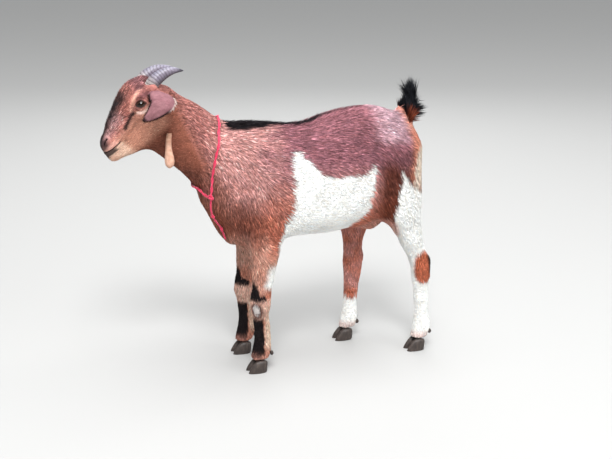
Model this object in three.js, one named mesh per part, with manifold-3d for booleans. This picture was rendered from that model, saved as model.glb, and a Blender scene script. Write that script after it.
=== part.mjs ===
// A young doe goat standing at rest: life size, in millimetres, +Z up.
// She faces +X with her left side at +Y and stands on the floor at Z 0.
// The flesh is one smooth field of lofts, limbs and balls. Each named piece is the stretch of that
// field that a person would name, parted from its neighbours by thin cuts. Horns, eyes, ears,
// wattles, claws and the tied cord are solids of their own.
import * as THREE from "three";
import { mergeVertices } from "three/addons/utils/BufferGeometryUtils.js";
import Module from "manifold-3d";

const wasm = await Module();
wasm.setup();

// ---------------------------------------------------------------- driving dimensions
const WITHERS = 558; // height of the withers
const RUMP = 577; // height of the rump, the highest point of the back
const BARREL_HALF = 97; // half of the widest girth
const FORE_TRACK = 61; // from the middle plane to a fore hoof
const HIND_TRACK = 60; // from the middle plane to a hind hoof
const CORONET = 30; // height where hair ends and the claws begin
const GAP = 0.4; // width of the thin cuts between two pieces
const SET_IN_GAP = 0.35; // round what is set into the flesh
const LEFT = 1;
const RIGHT = -1;

// ---------------------------------------------------------------- small vector and curve helpers
const vec = (x, y, z) => new THREE.Vector3(x, y, z);
const points = (rows) => rows.map((row) => vec(...row));
const mirrored = ([x, y, z], side) => [x, y * side, z];
const clamp01 = (t) => Math.min(1, Math.max(0, t));
const radians = (degrees) => (degrees * Math.PI) / 180;

// A smooth value through rows of numbers: column `c` as a function of column 0.
function curveThrough(rows, c) {
  const slope = rows.map((row, i) => {
    const a = rows[Math.max(i - 1, 0)];
    const b = rows[Math.min(i + 1, rows.length - 1)];
    return (b[c] - a[c]) / (b[0] - a[0]);
  });
  return (u) => {
    if (u <= rows[0][0]) return rows[0][c];
    if (u >= rows.at(-1)[0]) return rows.at(-1)[c];
    const i = rows.findIndex((row) => row[0] > u) - 1;
    const span = rows[i + 1][0] - rows[i][0];
    const t = (u - rows[i][0]) / span;
    const rise = t * t * (3 - 2 * t);
    const bend = t * (1 - t);
    return (
      rows[i][c] * (1 - rise) +
      rows[i + 1][c] * rise +
      bend * span * (slope[i] * (1 - t) - slope[i + 1] * t)
    );
  };
}

// The cosines and sines of `n` even steps round a circle.
function circle(n) {
  const angles = Array.from({ length: n }, (_, i) => radians((i * 360) / n));
  return angles.map((angle) => [Math.cos(angle), Math.sin(angle)]);
}

// ---------------------------------------------------------------- fields: below 0 inside the flesh
// A loft along an axis. Its rows are [along, top, bottom, half width], and `roof` narrows it upwards.
function loft({ origin, axis, up, rows, power = 2.2, roof = 0 }) {
  const [o, a, v] = [vec(...origin), vec(...axis).normalize(), vec(...up).normalize()];
  const [top, bottom, half] = [1, 2, 3].map((c) => curveThrough(rows, c));
  const [first, last] = [rows[0][0], rows.at(-1)[0]];
  return (x, y, z) => {
    const u = (x - o.x) * a.x + (z - o.z) * a.z;
    const w = (x - o.x) * v.x + (z - o.z) * v.z;
    const reach = (top(u) - bottom(u)) / 2;
    const rise = w - (top(u) + bottom(u)) / 2;
    const share = Math.max(-1, Math.min(1, rise / reach));
    const side = Math.abs(y) / (half(u) * (1 - roof * share));
    const r = (side ** power + Math.abs(rise / reach) ** power) ** (1 / power);
    const from = Math.hypot(y, rise);
    const d = r < 1e-4 ? -Math.min(reach, half(u)) : from * (1 - 1 / r);
    const past = Math.max(first - u, u - last, 0);
    return past > 0 ? Math.hypot(Math.max(d, 0), past) + Math.min(d, 0) * 0.2 : d;
  };
}

// A limb: round segments through joints [x, y, z, radius]. `deep` stretches it along X.
function limb(joints, { side = LEFT, deep = 1, k = 6 } = {}) {
  const centres = joints.map(([x, y, z, r]) => [x, y * side, z, r]);
  const segments = centres.slice(1).map((b, i) => [centres[i], b]);
  return (x, y, z) =>
    segments.reduce((d, [a, b]) => {
      const [dx, dy, dz] = [b[0] - a[0], b[1] - a[1], b[2] - a[2]];
      const t = clamp01(
        ((x - a[0]) * dx + (y - a[1]) * dy + (z - a[2]) * dz) / (dx * dx + dy * dy + dz * dz),
      );
      const px = (x - a[0] - t * dx) / deep;
      const reach = Math.hypot(px, y - a[1] - t * dy, z - a[2] - t * dz);
      return smoothMin(d, reach - a[3] - t * (b[3] - a[3]), k);
    }, 1e3);
}

// An ellipsoid whose long axis may pitch about Y by `pitch` degrees, nose down when positive.
function ball([cx, cy, cz], [rx, ry, rz], pitch = 0) {
  const [c, s] = [Math.cos(radians(pitch)), Math.sin(radians(pitch))];
  return (x, y, z) => {
    const [dx, dy, dz] = [x - cx, y - cy, z - cz];
    const [u, w] = [dx * c - dz * s, dx * s + dz * c];
    const r = Math.hypot(u / rx, dy / ry, w / rz);
    return r < 1e-4 ? -Math.min(rx, ry, rz) : Math.hypot(dx, dy, dz) * (1 - 1 / r);
  };
}

function smoothMin(a, b, k) {
  const h = Math.max(k - Math.abs(a - b), 0) / k;
  return Math.min(a, b) - (h * h * k) / 4;
}

const blended = (k, ...fields) => (x, y, z) =>
  fields.reduce((d, f) => smoothMin(d, f(x, y, z), k), 1e3);

const bothSides = (make) => [make(LEFT), make(RIGHT)];

// ---------------------------------------------------------------- the flesh, part by part
const trunkField = blended(
  34,
  loft({
    origin: [0, 0, 0],
    axis: [1, 0, 0],
    up: [0, 0, 1],
    power: 2.15,
    roof: 0.16,
    rows: [
      // along, top, bottom, half width
      [-252, RUMP - 56, 456, 30],
      [-238, RUMP - 34, 424, 49],
      [-205, RUMP - 14, 370, 68],
      [-160, RUMP - 2, 330, 82],
      [-105, RUMP - 3, 303, 92],
      [-45, WITHERS + 5, 293, BARREL_HALF],
      [20, WITHERS - 14, 293, BARREL_HALF - 2],
      [75, WITHERS - 7, 290, BARREL_HALF - 10],
      [130, WITHERS, 284, 78],
      [170, WITHERS + 2, 290, 66],
      [198, WITHERS - 12, 318, 55],
      [222, WITHERS - 44, 346, 43],
      [238, WITHERS - 90, 376, 28],
    ],
  }),
  ...bothSides((s) => ball([176, 50 * s, 446], [50, 30, 92], 24)), // shoulder blade
  ...bothSides((s) => ball([196, 46 * s, 394], [32, 28, 42])), // point of the shoulder
  ...bothSides((s) => ball([-152, 46 * s, 535], [34, 24, 26])), // hip bone
  ...bothSides((s) => ball([-238, 31 * s, 500], [19, 18, 26])), // pin bone
  ball([174, 0, 322], [32, 30, 38]), // brisket
);

const neckField = blended(
  20,
  loft({
    origin: [215, 0, 478],
    axis: [115, 0, 112],
    up: [-112, 0, 115],
    power: 2.1,
    roof: 0.22,
    rows: [
      [-70, 62, -84, 60],
      [-20, 76, -64, 57],
      [25, 77, -57, 51],
      [70, 73, -55, 46],
      [115, 67, -52, 42],
      [150, 57, -46, 38],
      [182, 50, -34, 31],
    ],
  }),
  limb([[342, 0, 532, 22], [298, 0, 494, 19], [254, 0, 449, 17]], { k: 4 }), // windpipe and dewlap
);

// The head has a frame of its own: `u` runs from the poll to the lips and `v` out of the forehead.
const POLL = [324, 649];
const HEAD_DROP = 46.7; // degrees that the head points down
const [HEAD_C, HEAD_S] = [Math.cos(radians(HEAD_DROP)), Math.sin(radians(HEAD_DROP))];
const headPoint = (u, y, v) => [POLL[0] + u * HEAD_C + v * HEAD_S, y, POLL[1] - u * HEAD_S + v * HEAD_C];
const headBall = (u, y, v, radii, pitch = 0) => ball(headPoint(u, y, v), radii, HEAD_DROP + pitch);
const headLoft = (rows, shape) =>
  loft({
    origin: [POLL[0], 0, POLL[1]],
    axis: [HEAD_C, 0, -HEAD_S],
    up: [HEAD_S, 0, HEAD_C],
    rows,
    ...shape,
  });
const EYE = { u: 60.5, v: 8.5, y: 31.5, r: 12.5 };

const headField = blended(
  11,
  headLoft(
    // skull and the arched nose
    [
      [-2, -6, -34, 24],
      [10, 22, -36, 32],
      [30, 49.5, -34, 36],
      [58, 56, -32, 34.5],
      [84, 51, -28, 30],
      [110, 42.5, -24, 26],
      [136, 32.5, -21, 24],
      [158, 22.5, -19, 23],
      [178, 11.5, -17, 20.5],
      [190, -3, -13, 14],
    ],
    { power: 2.1, roof: 0.3 },
  ),
  headLoft(
    // lower jaw
    [
      [34, -8, -60, 24],
      [62, -8, -72, 30],
      [92, -10, -73, 27],
      [122, -10, -66, 21],
      [150, -12, -54, 17],
      [174, -13, -38, 15.5],
      [189, -17, -32, 10.5],
    ],
    { power: 2.1, roof: 0.04 },
  ),
  ...bothSides((s) => headBall(60, 22 * s, -30, [34, 14, 29])), // cheek muscle
  ...bothSides((s) => headBall(54, 29 * s, 25, [21, 13, 12], 8)), // brow over the eye
  ...bothSides((s) => headBall(63, 30 * s, -3, [24, 13, 11], 10)), // bone under the eye
  ...bothSides((s) => headBall(161, 13 * s, 6, [13, 11, 11])), // wing of the nostril
  headBall(24, 0, 27, [19, 24, 17]), // crown between the horns
  ...bothSides((s) => headBall(17, 32 * s, 14, [14, 12, 13])), // root of the ear
  headBall(172, 0, -27, [13, 15, 11]), // chin
);

// Fore leg: shoulder, elbow, knee, fetlock and pastern down to the coronet.
const foreLegField = (side) =>
  blended(
    10,
    limb(
      [
        [186, 54, 396, 32],
        [125, 58, 322, 33],
        [117, FORE_TRACK, 276, 28],
        [121, FORE_TRACK, 226, 23],
        [127, FORE_TRACK, 182, 19.5],
      ],
      { side, deep: 1.12 },
    ),
    limb([[96, 60, 304, 21], [106, FORE_TRACK, 268, 18]], { side }), // elbow
    limb([[129, FORE_TRACK, 172, 21.5], [130, FORE_TRACK, 154, 21.5]], { side }), // knee
    limb(
      [
        [130, FORE_TRACK, 150, 18],
        [128, FORE_TRACK, 118, 15],
        [127, FORE_TRACK, 74, 15],
      ],
      { side, deep: 1.12 },
    ), // cannon
    limb([[118, FORE_TRACK, 112, 9], [117, FORE_TRACK, 70, 9.5]], { side }), // tendons
    limb([[127, FORE_TRACK, 58, 18], [126, FORE_TRACK, 50, 18.5]], { side, deep: 1.08 }), // fetlock
    limb([[130, FORE_TRACK, 44, 17], [136, FORE_TRACK, 24, 18.5]], { side, deep: 1.1 }), // pastern
  );

// Hind legs: the left stands under the hip, the right has stepped forward.
const HIND_POSES = {
  [LEFT]: { stifle: [-191, 350], hock: [-259, 201], fetlock: [-266, 53] },
  [RIGHT]: { stifle: [-130, 354], hock: [-138, 190], fetlock: [-132, 52] },
};
const HIP = [-200, 486];

// A point at a share of the way from one joint to the next, moved forward by `ahead`.
const between = (a, b, share, ahead = 0) => [
  a[0] + (b[0] - a[0]) * share + ahead,
  a[1] + (b[1] - a[1]) * share,
];
const joint = ([x, z], y, r) => [x, y, z, r];

function hindLegField(side) {
  const { stifle, hock, fetlock } = HIND_POSES[side];
  const heel = [hock[0] - 20, hock[1] + 12];
  return blended(
    10,
    blended(
      26,
      limb(
        [joint(between(HIP, stifle, 0.1, 8), 46, 50), joint(stifle, 65, 31)],
        { side, deep: 1.12, k: 10 },
      ), // front of the thigh
      limb(
        [
          joint([HIP[0] - 22, HIP[1] - 16], 42, 34),
          joint(between(stifle, hock, -0.06, -40), 53, 31),
          joint(between(stifle, hock, 0.55, -14), HIND_TRACK, 17),
        ],
        { side, deep: 1.1, k: 10 },
      ), // back of the thigh
      limb(
        [
          joint(stifle, 65, 30),
          joint(between(stifle, hock, 0.5), 63, 20.5),
          joint(between(stifle, hock, 0.78), 61, 17),
          joint(hock, HIND_TRACK, 17),
        ],
        { side, deep: 1.1, k: 10 },
      ), // shin
    ),
    limb(
      [joint(between(stifle, hock, 0.62, -12), HIND_TRACK, 11), joint(heel, HIND_TRACK, 10)],
      { side },
    ), // hamstring
    limb(
      [joint(hock, HIND_TRACK, 20.5), joint([hock[0] - 3, hock[1] - 24], HIND_TRACK, 18.5)],
      { side, deep: 1.12 },
    ), // hock
    limb(
      [
        joint(between(hock, fetlock, 0.2), HIND_TRACK, 17),
        joint(between(hock, fetlock, 0.5), HIND_TRACK, 15),
        joint(fetlock, HIND_TRACK, 15.5),
      ],
      { side, deep: 1.14 },
    ), // cannon
    limb(
      [joint([fetlock[0], fetlock[1] + 4], HIND_TRACK, 18.5), joint(fetlock, HIND_TRACK, 18.5)],
      { side, deep: 1.1 },
    ), // fetlock
    limb(
      [
        joint([fetlock[0] + 4, fetlock[1] - 10], HIND_TRACK, 16.5),
        joint([fetlock[0] + 10, 24], HIND_TRACK, 18),
      ],
      { side, deep: 1.1 },
    ), // pastern
  );
}

// The flank fold joins the belly to the front of the thigh.
const flankFold = (side) => {
  const [x, z] = HIND_POSES[side].stifle;
  return limb([[x + 84, 54, z - 8, 10], [x + 38, 62, z - 1, 14], [x, 64, z + 20, 20]], { side, k: 12 });
};

const udder = blended(16, ...bothSides((s) => ball([-140, 20 * s, 320], [40, 26, 27], -14)));
const teats = blended(
  3,
  ...bothSides((s) => limb([[-134, 22, 304, 8], [-131, 23, 287, 5]], { side: s, k: 3 })),
);

const TAIL_ROOT = [-244, 540];
const tailField = blended(
  12,
  limb(
    [
      [TAIL_ROOT[0] + 14, 0, TAIL_ROOT[1] - 6, 17],
      [TAIL_ROOT[0] - 12, 0, TAIL_ROOT[1] + 9, 18],
      [TAIL_ROOT[0] - 9, 0, TAIL_ROOT[1] + 36, 22],
      [TAIL_ROOT[0] - 4, 0, TAIL_ROOT[1] + 58, 20],
      [TAIL_ROOT[0] + 1, 0, TAIL_ROOT[1] + 76, 15],
      [TAIL_ROOT[0] + 4, 0, TAIL_ROOT[1] + 93, 5],
    ],
    { k: 8, deep: 1.15 },
  ), // dock and upright hair
  limb([
    [TAIL_ROOT[0] - 24, 0, TAIL_ROOT[1] + 14, 16],
    [TAIL_ROOT[0] - 46.3, 0, TAIL_ROOT[1] + 14, 9],
  ]), // hair that stands out behind
);

const rearField = blended(
  22,
  trunkField,
  ...bothSides(flankFold),
  ...bothSides(hindLegField),
  udder,
);
const flesh = blended(
  5,
  blended(18, blended(26, rearField, neckField, ...bothSides(foreLegField)), headField),
  teats,
  tailField,
);

// ---------------------------------------------------------------- from a field to a closed mesh
// Surface nets: one vertex in each cell that the surface crosses, drawn onto the surface,
// and one quad across each grid edge whose two ends lie on different sides.
function surfaceNet(field, low, high, cell) {
  const count = [0, 1, 2].map((k) => Math.ceil((high[k] - low[k]) / cell[k]) + 1);
  const at = (i, j, k) => i + count[0] * (j + count[1] * k);
  const place = (i, j, k) => [low[0] + i * cell[0], low[1] + j * cell[1], low[2] + k * cell[2]];
  const isWall = (i, j, k) => [i, j, k].some((n, c) => n === 0 || n === count[c] - 1);
  const value = new Float64Array(count[0] * count[1] * count[2]);
  eachCell(count, (i, j, k) => {
    const d = field(...place(i, j, k));
    value[at(i, j, k)] = isWall(i, j, k) ? Math.max(d, 1) : d;
  });

  const corners = [0, 1, 2, 3, 4, 5, 6, 7].map((n) => [n & 1, (n >> 1) & 1, n >> 2]);
  const edges = corners.flatMap((a, i) =>
    corners.flatMap((b, j) =>
      j > i && Math.abs(a[0] - b[0]) + Math.abs(a[1] - b[1]) + Math.abs(a[2] - b[2]) === 1
        ? [[a, b]]
        : [],
    ),
  );
  const vertexOf = new Map();
  const positions = [];
  eachCell(count.map((n) => n - 1), (i, j, k) => {
    const sum = [0, 0, 0];
    let crossings = 0;
    for (const [a, b] of edges) {
      const va = value[at(i + a[0], j + a[1], k + a[2])];
      const vb = value[at(i + b[0], j + b[1], k + b[2])];
      if (va < 0 === vb < 0) continue;
      const t = va / (va - vb);
      for (let c = 0; c < 3; c++) sum[c] += a[c] + t * (b[c] - a[c]);
      crossings++;
    }
    if (!crossings) return;
    vertexOf.set(at(i, j, k), positions.length);
    const inCell = sum.map((s, c) => low[c] + ([i, j, k][c] + s / crossings) * cell[c]);
    positions.push(drawnOnto(field, inCell, Math.min(...cell) * 0.45));
  });

  const triangles = [];
  eachCell(count.map((n) => n - 1), (i, j, k) => {
    const here = value[at(i, j, k)] < 0;
    for (let axis = 0; axis < 3; axis++) {
      const step = [0, 0, 0];
      step[axis] = 1;
      if (here === value[at(i + step[0], j + step[1], k + step[2])] < 0) continue;
      const [p, q] = [(axis + 1) % 3, (axis + 2) % 3];
      const around = [[0, 0], [1, 0], [1, 1], [0, 1]].map(([dp, dq]) => {
        const cellAt = [i, j, k];
        cellAt[p] -= dp;
        cellAt[q] -= dq;
        return vertexOf.get(at(...cellAt));
      });
      const [a, b, c, d] = here ? around : around.reverse();
      triangles.push(...shorterSplit(positions, a, b, c, d));
    }
  });
  return meshGeometry(positions, triangles);
}

function eachCell([nx, ny, nz], visit) {
  for (let k = 0; k < nz; k++)
    for (let j = 0; j < ny; j++) for (let i = 0; i < nx; i++) visit(i, j, k);
}

// Moves a point along the field's slope until it lies on the surface, by no more than `most`.
function drawnOnto(field, point, most) {
  const p = [...point];
  const h = 0.5;
  for (let turn = 0; turn < 3; turn++) {
    const d = field(...p);
    const slope = [0, 1, 2].map((c) => {
      const [a, b] = [[...p], [...p]];
      a[c] -= h;
      b[c] += h;
      return (field(...b) - field(...a)) / (2 * h);
    });
    const steep = slope.reduce((s, g) => s + g * g, 0) || 1;
    for (let c = 0; c < 3; c++) p[c] -= (d * slope[c]) / steep;
  }
  return p.map((value, c) => Math.max(point[c] - most, Math.min(point[c] + most, value)));
}

function shorterSplit(positions, a, b, c, d) {
  const span = (m, n) => Math.hypot(...positions[m].map((value, i) => value - positions[n][i]));
  return span(a, c) < span(b, d) ? [a, b, c, a, c, d] : [a, b, d, b, c, d];
}

function meshGeometry(positions, triangles) {
  return new THREE.BufferGeometry()
    .setAttribute("position", new THREE.BufferAttribute(new Float32Array(positions.flat()), 3))
    .setIndex(facingOut(positions, triangles));
}

// Turns every triangle over when the closed skin they make holds a negative volume.
function facingOut(positions, triangles) {
  let volume = 0;
  for (let t = 0; t < triangles.length; t += 3) {
    const [a, b, c] = [0, 1, 2].map((i) => vec(...positions[triangles[t + i]]));
    volume += a.dot(b.cross(c));
  }
  return volume > 0 ? triangles : triangles.toReversed();
}

// A closed skin over rings of points, each ring an array of the same length, with capped ends.
function ringLoft(rings) {
  const n = rings[0].length;
  const positions = rings.flat();
  const triangles = [];
  for (let r = 0; r + 1 < rings.length; r++) {
    for (let i = 0; i < n; i++) {
      const [a, b] = [r * n + i, r * n + ((i + 1) % n)];
      triangles.push(a, b, b + n, a, b + n, a + n);
    }
  }
  for (const [ring, flip] of [[0, true], [rings.length - 1, false]]) {
    const middle = positions.length;
    positions.push([0, 1, 2].map((c) => rings[ring].reduce((s, p) => s + p[c], 0) / n));
    for (let i = 0; i < n; i++) {
      const [a, b] = [ring * n + i, ring * n + ((i + 1) % n)];
      triangles.push(...(flip ? [b, a, middle] : [a, b, middle]));
    }
  }
  return meshGeometry(positions, triangles);
}

// ---------------------------------------------------------------- solids and cuts
function solidOf(geometry) {
  const bare = geometry.clone();
  for (const name of ["normal", "uv"]) bare.deleteAttribute(name);
  const merged = mergeVertices(bare, 1e-3);
  return new wasm.Manifold(
    new wasm.Mesh({
      numProp: 3,
      vertProperties: merged.attributes.position.array,
      triVerts: new Uint32Array(merged.index.array),
    }),
  );
}

function geometryOf(solid) {
  const m = solid.getMesh();
  const positions = new Float32Array(m.numVert * 3);
  for (let i = 0; i < m.numVert; i++)
    positions.set(m.vertProperties.subarray(i * m.numProp, i * m.numProp + 3), i * 3);
  return new THREE.BufferGeometry()
    .setAttribute("position", new THREE.BufferAttribute(positions, 3))
    .setIndex(new THREE.BufferAttribute(new Uint32Array(m.triVerts), 1));
}

// The largest of the bodies that a cut left.
const mainBody = (solid) =>
  solid.decompose().reduce((best, body) => (body.volume() > best.volume() ? body : best));

// Planes are { through, normal }: `ahead` keeps the side that the normal points to.
const unit = (normal) => vec(...normal).normalize();
function keepAhead(solid, { through, normal }) {
  const n = unit(normal);
  return solid.trimByPlane(n.toArray(), n.dot(vec(...through)) + GAP / 2);
}
function keepBehind(solid, { through, normal }) {
  const n = unit(normal).negate();
  return solid.trimByPlane(n.toArray(), n.dot(vec(...through)) + GAP / 2);
}

const THROAT_CUT = { through: [322, 0, 590], normal: [0.96, 0, 0.28] };
const NECK_CUT = { through: [214, 0, 480], normal: [0.96, 0, 0.28] };
const TAIL_CUT = { through: [TAIL_ROOT[0] - 8, 0, TAIL_ROOT[1] + 4], normal: [-0.72, 0, 0.69] };
const kneeCut = { through: [130, 0, 186], normal: [0, 0, 1] };
const hockCut = (side) => {
  const { stifle, hock } = HIND_POSES[side];
  const [x, z] = between(hock, stifle, 0.2);
  return { through: [x, 0, z], normal: [stifle[0] - hock[0], 0, stifle[1] - hock[1]] };
};
const coronetCut = { through: [0, 0, CORONET], normal: [0, 0, 1] };

// The block that holds a leg: a side outline pushed out from near the middle plane. Above
// `lean.from` its inner face leans outwards.
const LEG_INNER = 5;
const BLOCK_DEPTH = 200;
function legBlock(outline, side, lean, grow = 0) {
  const corners = outline.map(([x, z]) => new THREE.Vector2(x, z));
  const middle = new THREE.Vector2();
  for (const corner of corners) middle.addScaledVector(corner, 1 / corners.length);
  const shape = new THREE.Shape(
    corners.map((c) => c.clone().sub(middle).setLength(c.distanceTo(middle) + grow).add(middle)),
  );
  const block = new THREE.ExtrudeGeometry(shape, { depth: BLOCK_DEPTH, bevelEnabled: false });
  const position = block.getAttribute("position");
  for (let i = 0; i < position.count; i++) {
    const [x, z, out] = [position.getX(i), position.getY(i), position.getZ(i)];
    const inner = LEG_INNER - grow + Math.max(0, z - lean.from) * lean.slope;
    position.setXYZ(i, x, inner + out, z);
  }
  // The extrusion is turned from XY and Z to XZ and Y, so its faces are put right again.
  const skin = mergeVertices(block.deleteAttribute("normal").deleteAttribute("uv"), 1e-3);
  const places = Array.from({ length: skin.getAttribute("position").count }, (_, i) => {
    const p = new THREE.Vector3().fromBufferAttribute(skin.getAttribute("position"), i);
    return [p.x, p.y * side, p.z];
  });
  return solidOf(meshGeometry(places, Array.from(skin.index.array)));
}
const FORE_OUTLINE = [[70, -5], [210, -5], [214, 300], [206, 372], [160, 404], [108, 372], [76, 305]];
const FORE_LEAN = { from: 280, slope: 0.42 };
const hindOutline = (side) => {
  const { stifle } = HIND_POSES[side];
  return [
    [-330, -5],
    [stifle[0] + 90, -5],
    [stifle[0] + 62, stifle[1] - 60],
    [stifle[0] + 38, stifle[1] - 8],
    [stifle[0] + 32, stifle[1] + 60],
    [-172, 498],
    [-228, 508],
    [-330, 470],
  ];
};
const HIND_LEAN = { from: 330, slope: 0.22 };

const foreBlock = (side, grow) => legBlock(FORE_OUTLINE, side, FORE_LEAN, grow);
const hindBlock = (side, grow) => legBlock(hindOutline(side), side, HIND_LEAN, grow);

const grown = (low, high, cell) => solidOf(surfaceNet(flesh, low, high, cell));

// The same for a box given on the left side, mirrored for the right.
const grownAt = (side, low, high, cell) =>
  side === LEFT
    ? grown(low, high, cell)
    : grown([low[0], -high[1], low[2]], [high[0], -low[1], high[2]], cell);

// ---------------------------------------------------------------- flesh nodes
const eyeCentre = (side) => headPoint(EYE.u, EYE.y * side, EYE.v);

function eyeBall(side, grow = 0) {
  return new THREE.SphereGeometry(EYE.r + grow, 9, 6).translate(...eyeCentre(side));
}

function headSolid() {
  let head = keepAhead(grown([266, -78, 470], [478, 78, 716], [11, 11, 11]), THROAT_CUT);
  for (const side of [LEFT, RIGHT]) {
    for (const make of [eyeBall, hornGeometry, earGeometry])
      head = head.subtract(solidOf(make(side, SET_IN_GAP)));
  }
  return mainBody(head);
}

function neckSolid() {
  let neck = keepBehind(grown([180, -100, 370], [372, 100, 690], [25, 22, 25]), THROAT_CUT);
  for (const side of [LEFT, RIGHT])
    neck = neck.subtract(solidOf(wattleGeometry(side, SET_IN_GAP)));
  return mainBody(keepAhead(neck, NECK_CUT));
}

function trunkSolid() {
  let trunk = keepBehind(grown([-310, -130, 232], [272, 130, 604], [37, 31, 34]), NECK_CUT);
  trunk = keepBehind(trunk, TAIL_CUT);
  for (const side of [LEFT, RIGHT])
    trunk = trunk.subtract(foreBlock(side, GAP)).subtract(hindBlock(side, GAP));
  return mainBody(trunk);
}

const tailSolid = () =>
  mainBody(keepAhead(grown([-330, -40, 516], [-222, 40, 660], [11, 11, 14]), TAIL_CUT));

function foreLegSolids(side) {
  const upper = grownAt(side, [60, 3, 150], [222, 118, 412], [22, 20, 25]);
  const lower = grownAt(side, [86, 30, 8], [174, 92, 230], [12, 11.5, 22]);
  return {
    upper: mainBody(keepAhead(upper.intersect(foreBlock(side, 0)), kneeCut)),
    lower: mainBody(withSockets(keepAhead(keepBehind(lower, kneeCut), coronetCut), side, FORE_FOOT)),
  };
}

function hindLegSolids(side) {
  const { stifle, hock, fetlock } = HIND_POSES[side];
  const back = Math.min(hock[0], fetlock[0]) - 50;
  const front = Math.max(hock[0], fetlock[0]) + 52;
  const upper = grownAt(side, [-310, 0, hock[1] - 30], [stifle[0] + 80, 130, 530], [23, 21, 25]);
  const lower = grownAt(side, [back, 28, 8], [front, 92, hock[1] + 72], [12, 11.5, 22]);
  return {
    upper: mainBody(keepAhead(upper.intersect(hindBlock(side, 0)), hockCut(side))),
    lower: mainBody(
      withSockets(keepAhead(keepBehind(lower, hockCut(side)), coronetCut), side, hindFoot(side)),
    ),
  };
}

// ---------------------------------------------------------------- horns, ears, wattles
// A body of oval rings along a smooth path: its radii rows are [along, in the middle plane, sideways].
function sweep(rows, radii, { steps, around }) {
  const path = new THREE.CatmullRomCurve3(points(rows));
  const [deep, wide] = [1, 2].map((c) => curveThrough(radii, c));
  const sideways = vec(0, 1, 0);
  const rings = [];
  for (let i = 0; i <= steps; i++) {
    const t = i / steps;
    const centre = path.getPoint(t);
    const along = path.getTangent(t);
    const across = sideways.clone().addScaledVector(along, -along.y).normalize();
    const out = along.clone().cross(across);
    rings.push(
      circle(around).map(([c, s]) =>
        centre
          .clone()
          .addScaledVector(out, c * deep(t))
          .addScaledVector(across, s * wide(t))
          .toArray(),
      ),
    );
  }
  return ringLoft(rings);
}

// A short horn that rises behind the crown and sweeps back.
const HORN_PATHS = {
  [LEFT]: [[351, 20, 640], [341, 25, 658], [321, 26, 672], [301, 27, 678], [280, 28, 677]],
  [RIGHT]: [[360, 20, 641], [350, 25, 659], [327, 26, 672], [304, 28, 675], [280, 30, 673]],
};
function hornGeometry(side, grow = 0) {
  const radii = [
    [0, 15.5 + grow, 13 + grow],
    [0.3, 14.5 + grow, 12 + grow],
    [0.6, 11.5 + grow, 9 + grow],
    [0.85, 6 + grow, 5 + grow],
    [1, 1.6 + grow, 1.4 + grow],
  ];
  const path = HORN_PATHS[side].map(([x, y, z]) => [x, y * side, z]);
  return sweep(path, radii, { steps: 7, around: 9 });
}

// A drooping ear: it leaves the head sideways, folds over and hangs with its tip forward.
const EAR_PATH = [
  [347, 36, 635],
  [342, 62, 641],
  [338, 88, 631],
  [349, 103, 619],
  [366, 105, 604],
  [383, 100, 590],
];
const EAR_ROWS = [
  // along, half width, depth of the cup, half thickness
  [0, 13, 7, 4.5],
  [0.22, 20, 10, 3.2],
  [0.45, 26, 9, 2.6],
  [0.65, 21.5, 6, 2.4],
  [0.85, 12.5, 3, 2.2],
  [1, 4, 0.5, 1.8],
];
const EAR_FACING = { root: [-0.35, 0.1, 0.93], tip: [0.25, 0.93, 0.28] };

function earGeometry(side, grow = 0) {
  const path = new THREE.CatmullRomCurve3(EAR_PATH.map((p) => vec(...mirrored(p, side))));
  const [half, cup, thick] = [1, 2, 3].map((c) => curveThrough(EAR_ROWS, c));
  const [root, tip] = [EAR_FACING.root, EAR_FACING.tip].map((f) => vec(...mirrored(f, side)));
  const steps = 10;
  const rim = 4; // strips across one face
  const rings = [];
  for (let i = 0; i <= steps; i++) {
    const t = i / steps;
    const along = path.getTangent(t);
    const facing = root.clone().lerp(tip, clamp01(t * 1.35));
    facing.addScaledVector(along, -along.dot(facing)).normalize();
    const across = facing.clone().cross(along);
    const shares = Array.from({ length: rim + 1 }, (_, k) => 1 - (2 * k) / rim);
    const face = (sign) =>
      shares.map((share) => {
        const swell = sign * (thick(t) * Math.sqrt(1.02 - share * share) + grow);
        return path
          .getPoint(t)
          .addScaledVector(across, share * (half(t) + grow))
          .addScaledVector(facing, -cup(t) * share * share + swell)
          .toArray();
      });
    rings.push([...face(1), ...face(-1).reverse()]);
  }
  return ringLoft(rings);
}

// A wattle: a soft lobe on a stalk, one each side of the throat. The right one is set further
// back and higher, as the two are seldom level.
const WATTLE_PATHS = {
  [LEFT]: [[319, 37, 550], [318, 43, 528], [320, 43, 500], [320, 41, 475]],
  [RIGHT]: [[307, 40, 560], [306, 46, 538], [308, 46, 510], [308, 44, 485]],
};
function wattleGeometry(side, grow = 0) {
  const radii = [
    [0, 6.5 + grow, 6 + grow],
    [0.4, 5.8 + grow, 5.5 + grow],
    [0.7, 9.5 + grow, 8 + grow],
    [0.9, 9 + grow, 7.5 + grow],
    [1, 4.4 + grow, 4 + grow],
  ];
  const path = WATTLE_PATHS[side].map((p) => mirrored(p, side));
  return sweep(path, radii, { steps: 6, around: 6 });
}

// ---------------------------------------------------------------- feet
const CLAW_ROWS = [
  // height, middle, half length, half width
  [0, 5, 25, 9.6],
  [4, 4.5, 25, 9.8],
  [CORONET * 0.6, -0.5, 20.5, 9.8],
  [CORONET - GAP, -4, 16, 8.6],
];
const CLAW_OUT = 10.4; // from the cleft to the middle of a claw
const FORE_FOOT = { x: 134, y: FORE_TRACK, fetlock: [124, 52] };
const hindFoot = (side) => {
  const { fetlock } = HIND_POSES[side];
  return { x: fetlock[0] + 12, y: HIND_TRACK, fetlock };
};

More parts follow.
